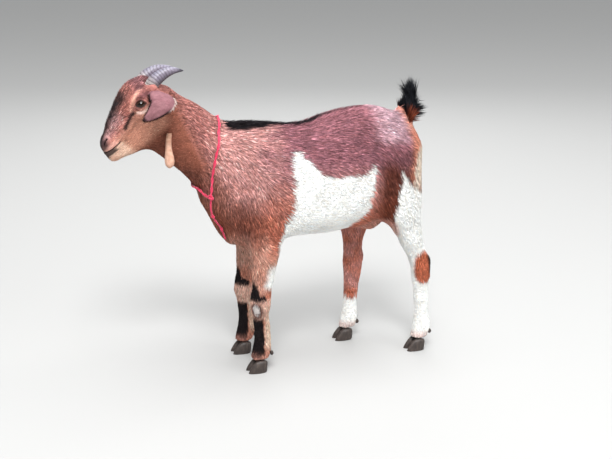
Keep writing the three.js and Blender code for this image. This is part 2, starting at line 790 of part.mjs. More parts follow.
function clawGeometry(foot, side, half) {
  return ringLoft(
    CLAW_ROWS.map(([z, middle, length, width]) =>
      circle(8).map(([c, s]) => [
        foot.x + middle + length * c * (c > 0 ? 1 : 0.86),
        side * foot.y + half * CLAW_OUT + width * s * (1 - 0.28 * Math.max(c, 0) ** 2),
        z,
      ]),
    ),
  );
}

// A dewclaw's radii, and its place from the middle of the fetlock.
const DEWCLAW = { radii: [6, 5.5, 8], behind: 17, out: 9, below: 9 };
function dewclawGeometry(foot, side, half, grow = 0) {
  const [x, z] = foot.fetlock;
  return new THREE.SphereGeometry(1, 5, 4)
    .scale(...DEWCLAW.radii.map((r) => r + grow))
    .translate(x - DEWCLAW.behind, side * foot.y + half * DEWCLAW.out, z - DEWCLAW.below);
}

function withSockets(leg, side, foot) {
  return [LEFT, RIGHT].reduce(
    (solid, half) => solid.subtract(solidOf(dewclawGeometry(foot, side, half, GAP))),
    leg,
  );
}

// ---------------------------------------------------------------- the tied cord
const CORD_R = 3.2; // the doubled cord round the neck
const CORD_END_R = 2.2; // the single end below the knot
const CORD_OFF = 2.4; // from the coat to the underside of the cord

// Two directions span the loop's plane: `up` to the crest and +Y to the left.
const LOOP = { middle: vec(228, 0, 502), up: vec(-0.358, 0, 0.934) };
const KNOT_ANGLE = 145;
const LOOP_STRAY = [
  // angle from the crest, and how far the knot's weight draws the cord backwards there
  [0, 0],
  [90, -0.05],
  [125, -0.14],
  [KNOT_ANGLE, -0.2],
  [162, -0.08],
  [180, 0],
  [360, 0],
];

// The point where a ray out of the flesh is `off` above its surface.
function outToSkin(from, direction, off) {
  const p = from.clone();
  for (let turn = 0; turn < 80; turn++) {
    const short = off - flesh(p.x, p.y, p.z);
    if (Math.abs(short) < 0.02) break;
    p.addScaledVector(direction, short * 0.8);
  }
  return p;
}

function loopPoint(degrees, off) {
  const angle = radians(degrees);
  const stray = curveThrough(LOOP_STRAY, 1)(degrees % 360);
  const out = LOOP.up
    .clone()
    .multiplyScalar(Math.cos(angle))
    .add(vec(stray, Math.sin(angle), 0))
    .normalize();
  return outToSkin(LOOP.middle, out, off);
}

// A round cord with eight sides along a smooth curve.
function tube(route, radius, steps) {
  const section = new THREE.Shape(circle(8).map(([c, s]) => new THREE.Vector2(c * radius, s * radius)));
  return new THREE.ExtrudeGeometry(section, {
    steps,
    extrudePath: new THREE.CatmullRomCurve3(route),
    bevelEnabled: false,
  });
}

// The loop starts and ends at its knot.
const KNOT_TURN = 2.5; // degrees that half of the knot takes up
function cordLoop() {
  const turns = 36;
  const route = Array.from({ length: turns + 1 }, (_, i) =>
    loopPoint(KNOT_ANGLE + KNOT_TURN + (i / turns) * (360 - 2 * KNOT_TURN), CORD_R + CORD_OFF),
  );
  return tube(route, CORD_R, 28);
}

// The free end lies on the left of the chest, from the first knot through a second to the last.
const KNOT_AT = [238.5, 67.5, 411];
const CORD_END = [
  [238, 66, 404],
  [238.5, 65, 398.5],
  [238, 63.5, 393],
  [238, 62.5, 387.5],
  [237, 61, 382],
  [235.5, 59, 376.5],
  [234, 57, 371.5],
  [232, 55.5, 366.5],
  [229.5, 53.5, 362],
  [227, 51.5, 357],
  [223.5, 49, 353],
  [220.5, 47, 349],
  [217, 45, 344.5],
  [214, 42.5, 340.5],
  [211.5, 40.5, 336],
  [208.5, 38.5, 331],
];
const SECOND_KNOT = 7; // which point of the route is the middle of the second knot
const STUB = [
  CORD_END.at(-1),
  [205.5, 36.5, 325],
  [203, 34.5, 318.5],
  [200.5, 32.5, 312],
  [198, 30.5, 306],
];
const FIRST_KNOT = [7.5, 6.5, 8.5];
const SMALL_KNOT = [5, 5, 6];
// Shares of the free end's length: where its tube starts, the second knot's middle, and half a knot.
const CORD_START = 0.02;
const SECOND_SHARE = SECOND_KNOT / (CORD_END.length - 1);
const KNOT_SHARE = 0.068;

// The free end's tube between two shares of its length.
function cordStretch(from, to) {
  const path = new THREE.CatmullRomCurve3(points(CORD_END));
  const steps = 4;
  const share = (i) => from + ((to - from) * i) / steps;
  const stops = Array.from({ length: steps + 1 }, (_, i) => path.getPointAt(share(i)));
  return tube(stops, CORD_END_R, steps);
}

const knotGeometry = (at, radii) => new THREE.SphereGeometry(1, 8, 6).scale(...radii).translate(...at);

// The last knot with the stub of cord that hangs out of it.
const lastKnot = () =>
  solidOf(knotGeometry(CORD_END.at(-1), SMALL_KNOT)).add(solidOf(tube(points(STUB), CORD_END_R, 4)));

// ---------------------------------------------------------------- the whole goat
const finish = (color, roughness) => new THREE.MeshStandardMaterial({ color, roughness, metalness: 0 });
const BROWN = finish("#8d5238", 0.85);
const WHITE = finish("#ece8e4", 0.85);
const BLACK = finish("#1b1a1e", 0.8);
const EAR = finish("#7c5850", 0.8);
const TAN = finish("#d8ab83", 0.8);
const HORN = finish("#8e8a92", 0.5);
const HOOF = finish("#3a302b", 0.5);
const EYEBALL = finish("#2b1a12", 0.1);
const CORD = finish("#d81848", 0.6);

const goat = new THREE.Group();
function add(name, shape, material) {
  const mesh = new THREE.Mesh(shape.isBufferGeometry ? shape : geometryOf(shape), material);
  mesh.name = name;
  goat.add(mesh);
}

add("head", headSolid(), BROWN);
add("neck", neckSolid(), BROWN);
add("trunk", trunkSolid(), BROWN);
add("tail", tailSolid(), BLACK);
for (const [word, side] of [["left", LEFT], ["right", RIGHT]]) {
  add(`horn_${word}`, hornGeometry(side), HORN);
  add(`eye_${word}`, eyeBall(side), EYEBALL);
  add(`ear_${word}`, earGeometry(side), EAR);
  add(`wattle_${word}`, wattleGeometry(side), TAN);

  const legs = { fore: foreLegSolids(side), hind: hindLegSolids(side) };
  add(`fore_leg_upper_${word}`, legs.fore.upper, BROWN);
  add(`fore_leg_lower_${word}`, legs.fore.lower, BROWN);
  add(`hind_leg_upper_${word}`, legs.hind.upper, BROWN);
  add(`hind_leg_lower_${word}`, legs.hind.lower, WHITE);

  for (const [leg, foot] of [["fore", FORE_FOOT], ["hind", hindFoot(side)]])
    for (const [place, half] of [["inner", -side], ["outer", side]]) {
      add(`claw_${leg}_${word}_${place}`, clawGeometry(foot, side, half), HOOF);
      add(`dewclaw_${leg}_${word}_${place}`, dewclawGeometry(foot, side, half), HOOF);
    }
}
add("cord_loop", cordLoop(), CORD);
add("cord_knot", knotGeometry(KNOT_AT, FIRST_KNOT), CORD);
add("cord_end_upper", cordStretch(CORD_START, SECOND_SHARE - KNOT_SHARE), CORD);
add("cord_end_knot", knotGeometry(CORD_END[SECOND_KNOT], SMALL_KNOT), CORD);
add("cord_end_middle", cordStretch(SECOND_SHARE + KNOT_SHARE, 1 - KNOT_SHARE), CORD);
add("cord_end_last_knot", lastKnot(), CORD);

// The origin is on the floor, under the middle of the goat.
const box = new THREE.Box3().setFromObject(goat);
goat.position.set(-(box.min.x + box.max.x) / 2, -(box.min.y + box.max.y) / 2, -box.min.z);

export default goat;
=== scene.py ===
# %% [markdown]
# # A standing goat
# A young goat stands still with its tail raised and a cord tied round its neck. The solids give
# its true outline. This lesson puts a skin inside them, lays a coat of small tufts over the skin,
# and gives eyes, ears, horns, hooves and the cord their own forms and finishes.
# The goat faces +X, its left side is +Y and the floor is Z = 0. Lengths are in metres, unless a
# comment says millimetres.

# %% Load the frame
import math

import bmesh
import bpy
import numpy as np
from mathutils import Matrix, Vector
from mathutils.bvhtree import BVHTree


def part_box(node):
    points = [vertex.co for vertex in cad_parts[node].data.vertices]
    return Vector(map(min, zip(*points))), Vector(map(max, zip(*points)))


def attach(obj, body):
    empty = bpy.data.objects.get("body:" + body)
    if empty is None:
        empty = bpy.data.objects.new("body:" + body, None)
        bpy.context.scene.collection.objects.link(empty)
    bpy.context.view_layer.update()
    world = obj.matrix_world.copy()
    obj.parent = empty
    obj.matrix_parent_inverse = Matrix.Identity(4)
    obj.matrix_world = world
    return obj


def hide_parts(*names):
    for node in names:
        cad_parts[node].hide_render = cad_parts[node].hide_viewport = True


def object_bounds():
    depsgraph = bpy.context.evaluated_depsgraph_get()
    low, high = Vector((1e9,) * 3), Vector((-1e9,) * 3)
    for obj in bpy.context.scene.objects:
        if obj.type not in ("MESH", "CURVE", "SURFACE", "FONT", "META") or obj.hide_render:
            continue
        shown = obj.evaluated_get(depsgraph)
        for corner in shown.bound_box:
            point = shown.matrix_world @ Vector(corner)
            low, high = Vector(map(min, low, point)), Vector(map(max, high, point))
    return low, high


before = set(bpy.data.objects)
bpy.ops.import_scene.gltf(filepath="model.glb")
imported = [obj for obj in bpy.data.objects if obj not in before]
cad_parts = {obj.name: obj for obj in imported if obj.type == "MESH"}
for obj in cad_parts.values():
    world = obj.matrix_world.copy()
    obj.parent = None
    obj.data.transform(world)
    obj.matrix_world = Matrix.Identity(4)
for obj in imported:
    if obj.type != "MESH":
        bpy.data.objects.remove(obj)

cad_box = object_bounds()
LEFT, RIGHT = 1, -1
SIDES = (("left", LEFT), ("right", RIGHT))
print("box of the solids:", [[round(v, 4) for v in corner] for corner in cad_box])

# %% [markdown]
# ## Camera, light and floor
# The camera looks at the goat's left side from a little ahead and above, with a long lens.
# Large soft lamps keep the coat's sheen broad, and the floor is plain and pale.

# %% Camera
AIM = Vector((-0.0784, 0, 0.30))
TURN = math.radians(160)
RISE = math.radians(16)
DISTANCE = 2.6
SENSOR, LENS = 36, 67.65
view_from = Vector((math.sin(TURN) * math.cos(RISE), -math.cos(TURN) * math.cos(RISE), math.sin(RISE)))
bpy.ops.object.camera_add(location=AIM + view_from * DISTANCE)
camera = bpy.context.object
camera.rotation_euler = view_from.to_track_quat("Z", "Y").to_euler()
camera.data.sensor_width = SENSOR
camera.data.lens = LENS
bpy.context.scene.camera = camera
print("camera at", [round(v, 3) for v in camera.location])

# %% Lamps and floor
LAMP_AIM = Vector((0, 0, 0.35))
LAMPS = [
    # name, place, width and watts of each square lamp
    ("key_lamp", (1.0, 3.6, 4.6), 1.7, 350),
    ("fill_lamp", (-3.2, 3.8, 1.8), 3.4, 90),
    ("top_lamp", (-0.5, -0.2, 4.4), 3.2, 150),
    ("back_lamp", (-1.0, -2.8, 2.0), 2.0, 24),
]


def lamp(kind, name, place, aim, energy):
    """A lamp at a place that faces a point."""
    bpy.ops.object.light_add(type=kind, location=place)
    light = bpy.context.object
    light.name = name
    light.rotation_euler = (Vector(place) - aim).to_track_quat("Z", "Y").to_euler()
    light.data.energy = energy
    return light.data


for name, place, size, watts in LAMPS:
    lamp("AREA", name, place, LAMP_AIM, watts).size = size
# A soft sun lights the floor evenly as far as the eye can see.
lamp("SUN", "daylight", (0.25, 0.9, 2.0), Vector((0, 0, 0)), 1.35).angle = 0.7

bpy.context.scene.view_settings.view_transform = "Standard"
world = bpy.data.worlds.new("studio")
bpy.context.scene.world = world
world.use_nodes = True
sky = world.node_tree.nodes["Background"].inputs
sky["Color"].default_value = (0.86, 0.88, 0.9, 1)
sky["Strength"].default_value = 0.42

bpy.ops.mesh.primitive_plane_add(size=60)
floor = bpy.context.object
floor.name = "floor"
pale = bpy.data.materials.new("pale floor")
pale.use_nodes = True
finish = pale.node_tree.nodes["Principled BSDF"].inputs
finish["Base Color"].default_value = (0.40, 0.40, 0.395, 1)
finish["Roughness"].default_value = 0.9
floor.data.materials.append(pale)

# %% [markdown]
# ## Helpers
# Most of the goat is free-form, so many pieces are shaped by moving points with numpy.
# These helpers read and write a mesh's points, run an operator on one piece alone, and mix
# colours. Colours are named by their screen values and turned to linear light.

# %% Helpers for meshes
def only(piece):
    """Selects one piece and nothing else."""
    bpy.ops.object.select_all(action="DESELECT")
    piece.select_set(True)
    bpy.context.view_layer.objects.active = piece


def edited(piece, *steps):
    """Runs mesh operators, each with its settings, on the whole of one piece."""
    only(piece)
    bpy.ops.object.mode_set(mode="EDIT")
    bpy.ops.mesh.select_all(action="SELECT")
    for operator, settings in steps:
        operator(**settings)
    bpy.ops.object.mode_set(mode="OBJECT")


def joined(parts):
    """Joins several pieces into the first."""
    only(parts[0])
    for part in parts[1:]:
        part.select_set(True)
    bpy.ops.object.join()
    return bpy.context.object


def read_array(items, field, width, kind=np.float32):
    """A row of `width` numbers for each item of a mesh."""
    values = np.empty(len(items) * width, kind)
    items.foreach_get(field, values)
    return values.reshape(-1, width)


def read_points(mesh):
    return read_array(mesh.vertices, "co", 3).astype(float)


def read_normals(mesh):
    return read_array(mesh.vertex_normals, "vector", 3).astype(float)


def write_points(mesh, points):
    mesh.vertices.foreach_set("co", np.asarray(points, np.float32).ravel())
    mesh.update()


def piece_from(name, points, faces):
    """A piece from arrays of points and faces, all of which have the same number of corners."""
    faces = np.asarray(faces, np.int32)
    mesh = bpy.data.meshes.new(name)
    mesh.vertices.add(len(points))
    write_points(mesh, points)
    mesh.loops.add(faces.size)
    mesh.loops.foreach_set("vertex_index", faces.ravel())
    mesh.polygons.add(len(faces))
    mesh.polygons.foreach_set("loop_start", np.arange(0, faces.size, faces.shape[1], dtype=np.int32))
    mesh.polygons.foreach_set("use_smooth", np.full(len(faces), True))
    mesh.update(calc_edges=True)
    piece = bpy.data.objects.new(name, mesh)
    bpy.context.scene.collection.objects.link(piece)
    return piece


def piece_of(shape, name):
    """A piece from a bmesh, which is freed."""
    piece = bpy.data.objects.new(name, bpy.data.meshes.new(name))
    shape.to_mesh(piece.data)
    shape.free()
    bpy.context.scene.collection.objects.link(piece)
    return piece


def unit(v):
    return v / np.maximum(np.linalg.norm(v, axis=-1, keepdims=True), 1e-12)


def smoothstep(low, high, value):
    t = np.clip((value - low) / (high - low), 0, 1)
    return t * t * (3 - 2 * t)


def tone(code):
    """A linear colour from a screen colour such as "8d5238"."""
    screen = np.array([int(code[i : i + 2], 16) for i in (0, 2, 4)]) / 255
    return np.where(screen <= 0.04045, screen / 12.92, ((screen + 0.055) / 1.055) ** 2.4)


def paint(piece, name, colours):
    """Stores one colour for each point of a piece."""
    attribute = piece.data.color_attributes.new(name, "FLOAT_COLOR", "POINT")
    opaque = np.c_[colours, np.ones(len(colours))]
    attribute.data.foreach_set("color", opaque.astype(np.float32).ravel())


def ready(piece, slot, material, *nodes):
    """Gives a finished piece its material, hangs it on the root body and hides the solids it stands for.
    The slot is not used.
    """
    piece.data.materials.clear()
    piece.data.materials.append(material)
    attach(piece, "root")
    if nodes:
        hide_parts(*nodes)
    return piece


# %% Soft random patterns
def ripple(points, size, seed, stretch=(1, 1, 1)):
    """Smooth noise between -1 and 1 with features about `size` metres across."""
    rng = np.random.default_rng(seed)
    total = np.zeros(len(points))
    for _ in range(7):
        direction = rng.normal(size=3) / np.asarray(stretch)
        phase = rng.uniform(0, 2 * math.pi)
        bend = np.sin(points @ rng.normal(size=3) * 1.7 / size + phase)
        total += np.sin(points @ direction * 2.4 / size + 1.3 * bend + phase)
    return np.clip(total / 3.2, -1, 1)


# %% [markdown]
# ## The cord
# A thin crimson cord goes round the neck, doubled and loosely twisted, and is tied on the left of
# the chest. Its free end hangs along the chest through two small knots. The loop lies on the coat,
# so its route is found by dropping points onto the solids. The free end's route is listed point by point.

# %% The solid goat as one surface to measure from
def leg_nodes(side):
    return [f"{leg}_leg_{part}_{side}" for leg in ("fore", "hind") for part in ("upper", "lower")]


FLESH = ["head", "neck", "trunk"] + leg_nodes("left") + leg_nodes("right")


def merged_copy(node, swell=0.0):
    """A bmesh copy of a CAD node, with its doubles merged and its walls pushed out by `swell`."""
    shape = bmesh.new()
    shape.from_mesh(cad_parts[node].data)
    bmesh.ops.remove_doubles(shape, verts=shape.verts, dist=1e-5)
    shape.normal_update()
    if swell:
        for vertex in shape.verts:
            vertex.co += vertex.normal * swell
    return shape


def surface_of(nodes):
    """One tree of faces that finds the nearest point of several nodes."""
    points, faces = [], []
    for node in nodes:
        shape = merged_copy(node)
        start = len(points)
        shape.verts.index_update()
        points += [vertex.co.copy() for vertex in shape.verts]
        faces += [[start + vertex.index for vertex in face.verts] for face in shape.faces]
        shape.free()
    return BVHTree.FromPolygons(points, faces)


outline = surface_of(FLESH)

# %% Twisted rope
CORD_R = 0.0032
CORD_END_R = 0.0022
CORD_OFF = 0.0002


def smooth_route(points, count, closed=False):
    """Evenly spaced points on a smooth curve through a few points."""
    p = np.asarray(points, float)
    p = np.vstack([p[-1], p, p[:2]]) if closed else np.vstack([2 * p[0] - p[1], p, 2 * p[-1] - p[-2]])
    fine = []
    for i in range(1, len(p) - 2):
        t = np.linspace(0, 1, 24, endpoint=False)[:, None]
        a, b, c, d = p[i - 1], p[i], p[i + 1], p[i + 2]
        fine.append(0.5 * (2 * b + (c - a) * t + (2 * a - 5 * b + 4 * c - d) * t**2
                           + (3 * b - a - 3 * c + d) * t**3))
    fine = np.vstack(fine + [p[-2][None]])
    length = np.r_[0, np.cumsum(np.linalg.norm(np.diff(fine, axis=0), axis=1))]
    stops = np.linspace(0, length[-1], count, endpoint=not closed)
    return np.column_stack([np.interp(stops, length, fine[:, k]) for k in range(3)])


def route_length(route):
    return float(np.linalg.norm(np.diff(route, axis=0), axis=1).sum())


def frames_along(route, closed=False):
    """A sideways and an upward direction at each point of a route, without sudden turns."""
    ahead = np.roll(route, -1, 0) - np.roll(route, 1, 0)
    if not closed:
        ahead[0], ahead[-1] = route[1] - route[0], route[-1] - route[-2]
    ahead = unit(ahead)
    side = np.empty_like(route)
    side[0] = unit(np.cross(ahead[0], [0.3, 0.2, 0.93]))
    for i in range(1, len(route)):
        side[i] = unit(side[i - 1] - ahead[i] * (side[i - 1] @ ahead[i]))
    return ahead, side, np.cross(ahead, side)


def rope(name, route, radius, strands=3, lay=0.011, around=12, hollow=0.16, closed=False):
    """A twisted rope: a tube whose section has a lobe for each strand and turns along the route."""
    _, side, up = frames_along(route, closed)
    steps = np.linalg.norm(np.diff(route, axis=0), axis=1)
    along = np.r_[0, np.cumsum(steps)]
    angle = np.arange(around) * 2 * math.pi / around
    turn = angle[None] - 2 * math.pi * along[:, None] / lay
    lobe = radius * (1 - hollow + hollow * np.abs(np.cos(strands * turn / 2)) ** 0.8)
    points = (route[:, None] + side[:, None] * (np.cos(angle)[None, :, None] * lobe[..., None])
              + up[:, None] * (np.sin(angle)[None, :, None] * lobe[..., None])).reshape(-1, 3)
    rings = len(route)
    ring, spoke = np.meshgrid(np.arange(rings if closed else rings - 1), np.arange(around), indexing="ij")
    after, next_spoke = (ring + 1) % rings, (spoke + 1) % around
    corners = [ring * around + spoke, ring * around + next_spoke,
               after * around + next_spoke, after * around + spoke]
    piece = piece_from(name, points, np.stack(corners, -1).reshape(-1, 4))
    if not closed:
        edited(piece, (bpy.ops.mesh.select_mode, {"type": "EDGE"}), (bpy.ops.mesh.region_to_loop, {}),
               (bpy.ops.mesh.edge_face_add, {}))
    face_out(piece)
    return piece


def face_out(piece):
    """Makes every face of a closed piece point outwards."""
    edited(piece, (bpy.ops.mesh.normals_make_consistent, {"inside": False}))


# %% Materials
def new_material(name, roughness, specular=0.5):
    material = bpy.data.materials.new(name)
    material.use_nodes = True
    shader = material.node_tree.nodes["Principled BSDF"]
    shader.inputs["Roughness"].default_value = roughness
    shader.inputs["Specular IOR Level"].default_value = specular
    return material, material.node_tree, shader


def noise_node(tree, scale, detail=4, roughness=0.6, stretch=None):
    """Noise on Object coordinates. `stretch` divides its scale along each axis."""
    place = tree.nodes.new("ShaderNodeTexCoord")
    grain = tree.nodes.new("ShaderNodeTexNoise")
    grain.inputs["Scale"].default_value = scale
    grain.inputs["Detail"].default_value = detail
    grain.inputs["Roughness"].default_value = roughness
    source = place.outputs["Object"]
    if stretch:
        mapping = tree.nodes.new("ShaderNodeMapping")
        mapping.inputs["Scale"].default_value = [1 / s for s in stretch]
        tree.links.new(source, mapping.inputs["Vector"])
        source = mapping.outputs["Vector"]
    tree.links.new(source, grain.inputs["Vector"])
    return grain


def ramp_node(tree, source, stops):
    """A colour ramp from (position, colour) pairs."""
    ramp = tree.nodes.new("ShaderNodeValToRGB")
    while len(ramp.color_ramp.elements) < len(stops):
        ramp.color_ramp.elements.new(0.5)
    for element, (position, colour) in zip(ramp.color_ramp.elements, stops):
        element.position = position
        element.color = (*colour, 1)
    tree.links.new(source, ramp.inputs["Fac"])
    return ramp


def bump_node(tree, shader, height, distance, strength=1.0):
    bump = tree.nodes.new("ShaderNodeBump")
    bump.inputs["Distance"].default_value = distance
    bump.inputs["Strength"].default_value = strength
    tree.links.new(height, bump.inputs["Height"])
    tree.links.new(bump.outputs["Normal"], shader.inputs["Normal"])


def noisy_finish(name, roughness, specular, grain, stops, bump):
    """A finish whose colours come from noise: `stops` are positions and screen colours."""
    material, tree, shader = new_material(name, roughness, specular)
    noise = noise_node(tree, *grain).outputs["Fac"]
    ramp = ramp_node(tree, noise, [(position, tone(code)) for position, code in stops])
    tree.links.new(ramp.outputs["Color"], shader.inputs["Base Color"])
    bump_node(tree, shader, noise, *bump)
    return material, shader


crimson, shader = noisy_finish("crimson cord", 0.55, 0.4, (900, 5),
                               [(0.3, "8f0f30"), (0.55, "d21c4b"), (0.75, "f04a74")], (0.0004,))
shader.inputs["Sheen Weight"].default_value = 0.3

# %% The loop round the neck
LOOP_MIDDLE = Vector((0.1496, 0, 0.502))
LOOP_UP = Vector((-0.358, 0, 0.934))
KNOT_ANGLE = 145
KNOT_TURN = 2.5
KNOT_AT = (0.1601, 0.0675, 0.411)
STRAY = ((0, 0), (90, -0.05), (125, -0.14), (KNOT_ANGLE, -0.2), (162, -0.08), (180, 0), (360, 0))


def on_coat(degrees):
    """The cord's middle on the coat, at an angle from the crest towards the goat's left."""
    angle = math.radians(degrees)
    stray = float(np.interp(degrees % 360, *zip(*STRAY)))
    out = (LOOP_UP * math.cos(angle) + Vector((stray, math.sin(angle), 0))).normalized()
    hit, _, _, _ = outline.ray_cast(LOOP_MIDDLE + out * 0.3, -out)
    return hit + out * (CORD_R + CORD_OFF)


to_knot = Vector(KNOT_AT) - on_coat(KNOT_ANGLE)


def loop_point(degrees):
    """The same, drawn down to the knot by the knot's weight."""
    return on_coat(degrees) + to_knot * math.exp(-(((degrees % 360 - KNOT_ANGLE) / 13) ** 2))


around_neck = [loop_point(KNOT_ANGLE + KNOT_TURN + share * (360 - 2 * KNOT_TURN))
               for share in np.linspace(0, 1, 41)]
loop_route = smooth_route(around_neck, 260)
_, loop_side, loop_up = frames_along(loop_route)
loop_length = route_length(loop_route)
wind = np.linspace(0, 2 * math.pi * 13, len(loop_route))[:, None]
strands = []
for turn in (0, math.pi):
    offset = (loop_side * np.cos(wind + turn) + loop_up * np.sin(wind + turn)) * CORD_R * 0.5
    strands.append(rope("strand", loop_route + offset, CORD_R * 0.5, lay=0.006, around=9))
cord_loop = joined(strands)
cord_loop.name = "neck_cord"
print("loop round the neck:", round(loop_length, 3), "m")

# %% The free end and its knots
FREE_END = np.array([
    (159.6, 66, 404), (160.1, 65, 398.5), (159.6, 63.5, 393), (159.6, 62.5, 387.5), (158.6, 61, 382),
    (157.1, 59, 376.5), (155.6, 57, 371.5), (153.6, 55.5, 366.5), (151.1, 53.5, 362), (148.6, 51.5, 357),
    (145.1, 49, 353), (142.1, 47, 349), (138.6, 45, 344.5), (135.6, 42.5, 340.5), (133.1, 40.5, 336),
    (130.1, 38.5, 331)]) / 1000
STUB = np.array([(130.1, 38.5, 331), (127.1, 36.5, 325), (124.6, 34.5, 318.5), (122.1, 32.5, 312),
                 (119.6, 30.5, 306)]) / 1000


def tied_knot(name, middle, size, radius, tilt):
    """An overhand knot: a closed rope on a trefoil, squeezed to the knot's size."""
    t = np.linspace(0, 2 * math.pi, 90, endpoint=False)
    trefoil = np.column_stack([(2 + np.cos(3 * t)) * np.cos(2 * t), (2 + np.cos(3 * t)) * np.sin(2 * t),
                               1.5 * np.sin(3 * t)]) / 3
    c, s = math.cos(tilt), math.sin(tilt)
    turned = np.column_stack([trefoil[:, 0] * c - trefoil[:, 2] * s, trefoil[:, 1],
                              trefoil[:, 0] * s + trefoil[:, 2] * c])
    reach = np.asarray(size) - radius
    return rope(name, np.asarray(middle) + turned * reach, radius, lay=0.008, around=8, closed=True)


free_route = smooth_route(FREE_END, 150)
free_cord = rope("cord_end", free_route, CORD_END_R)
first_knot = tied_knot("cord_knot_first", KNOT_AT, (0.0075, 0.0065, 0.0085), 0.0026, 0.9)
second_knot = tied_knot("cord_knot_second", FREE_END[7], (0.005, 0.005, 0.006), 0.0018, 0.6)
last_knot = tied_knot("cord_knot_last", FREE_END[-1], (0.005, 0.005, 0.006), 0.0018, 1.2)
stub = rope("cord_stub", smooth_route(STUB, 46), CORD_END_R * 0.95)
joined([last_knot, stub])

ready(cord_loop, "cord", crimson, "cord_loop")
ready(first_knot, "cord", crimson, "cord_knot")
ready(free_cord, "cord", crimson, "cord_end_upper", "cord_end_middle")
ready(second_knot, "cord", crimson, "cord_end_knot")
ready(last_knot, "cord", crimson, "cord_end_last_knot")

# %% [markdown]
# ## The skin
# One skin replaces the solids of the flesh, with no seam between them. Copies of the solids are
# swollen by a hair so that they overlap, joined, and remeshed into one even net. The net is then
# smoothed, more where the solids are coarse and less on the face and feet, and drawn back to lie
# inside the solids by the depth of the coat.

# %% Join the flesh
SWELL = 0.0007
VOXEL = 0.004
TAIL_ROOT = np.array((-0.3224, 0, 0.540))
DOCK = [((14, -6), 15), ((2, 2), 14), ((-10, 10), 13), ((-10, 22), 12), ((-9, 34), 10.5),
        ((-7, 45), 9), ((-5, 56), 7.5)]
HORN_ROOT = {LEFT: (0.2727, 0.020, 0.640), RIGHT: (0.2817, -0.020, 0.641)}


def ball(middle, radius):
    bpy.ops.mesh.primitive_ico_sphere_add(subdivisions=3, radius=radius, location=middle)
    return bpy.context.object


parts = [piece_of(merged_copy(node, SWELL), node + "_copy") for node in FLESH]
for (ahead, rise), radius in DOCK:
    parts.append(ball(TAIL_ROOT + np.array((ahead, 0, rise)) / 1000, radius / 1000))
for _, side in SIDES:
    parts.append(ball(HORN_ROOT[side], 0.016))
    parts.append(ball((0.2700, 0.029 * side, 0.631), 0.016))  # under the ear
    parts.append(ball((0.2908, 0.029 * side, 0.6105), 0.0135))  # behind the eye
skin = joined(parts)
skin.name = "skin"
bpy.ops.object.transform_apply(location=True, rotation=True, scale=True)
skin.data.remesh_voxel_size = VOXEL
bpy.ops.object.voxel_remesh()


def keep_largest(piece):
    """Drops loose crumbs and inner bubbles."""
    shape = bmesh.new()
    shape.from_mesh(piece.data)
    seen, groups = set(), []
    for start in shape.verts:
        if start in seen:
            continue
        seen.add(start)
        group, front = [start], [start]
        while front:
            for edge in front.pop().link_edges:
                for vertex in edge.verts:
                    if vertex not in seen:
                        seen.add(vertex)
                        group.append(vertex)
                        front.append(vertex)
        groups.append(group)
    groups.sort(key=len)
    for group in groups[:-1]:
        bmesh.ops.delete(shape, geom=group, context="VERTS")
    shape.to_mesh(piece.data)
    shape.free()
    return len(groups)


print("loose parts:", keep_largest(skin), "points:", len(skin.data.vertices))

# %% [markdown]
# ## Where things are on the head
# The head points down at an angle, so its features are placed in a frame of its own: u runs from
# the poll to the lips, v out of the forehead, and y to the goat's left, all in millimetres.

# %% Head frame
POLL = (245.6, 649)
HEAD_C, HEAD_S = math.cos(math.radians(46.7)), math.sin(math.radians(46.7))


def on_head(points):
    """u, y, v in millimetres of points in metres."""
    dx, dz = points[..., 0] * 1000 - POLL[0], points[..., 2] * 1000 - POLL[1]
    return dx * HEAD_C - dz * HEAD_S, points[..., 1] * 1000, dx * HEAD_S + dz * HEAD_C


def head_point(u, y, v):
    return np.array((POLL[0] + u * HEAD_C + v * HEAD_S, y, POLL[1] - u * HEAD_S + v * HEAD_C)) / 1000


def is_head(points):
    """1 on the head, fading to 0 over the throat."""
    u, _, v = on_head(points)
    return smoothstep(-14, 14, u - 0.45 * np.maximum(-v - 20, 0)) * smoothstep(0.44, 0.48, points[:, 2])


# %% Smooth the skin
def neighbour_sum(values, edges, count):
    a, b = edges.T
    return np.column_stack([np.bincount(a, values[b, k], count) + np.bincount(b, values[a, k], count)
                            for k in range(values.shape[1])])


def edge_list(mesh):
    return read_array(mesh.edges, "vertices", 2, np.int32)


def smoothed(values, edges, passes):
    """Draws values towards their neighbours' mean. `passes` is how often, for each point."""
    count = len(values)
    degree = np.bincount(edges.ravel(), minlength=count)[:, None]
    for turn in range(int(passes.max())):
        share = 0.5 * np.clip(passes - turn, 0, 1)[:, None]
        values = values * (1 - share) + share * neighbour_sum(values, edges, count) / degree
    return values


def smoothing_passes(points):
    """Many where the solids' faces are wide, few on the face and the lower legs."""
    low = smoothstep(0.24, 0.36, points[:, 2])
    passes = 8 + 24 * low
    return passes * (1 - is_head(points)) + 6 * is_head(points)


def coat_depth(points):
    """How far the skin lies inside the tips of the coat."""
    high = smoothstep(0.20, 0.34, points[:, 2])
    body = 0.0014 + 0.0014 * high
    face = 0.0009 + 0.0009 * smoothstep(60, 10, on_head(points)[0])
    return body * (1 - is_head(points)) + face * is_head(points)


def signed_gap(points, tree):
    """How far each point is outside a surface, below 0 inside it."""
    gap = np.empty(len(points))
    for i, point in enumerate(points):
        near, normal, _, distance = tree.find_nearest(Vector(point))
        gap[i] = math.copysign(distance, (Vector(point) - near).dot(normal))
    return gap


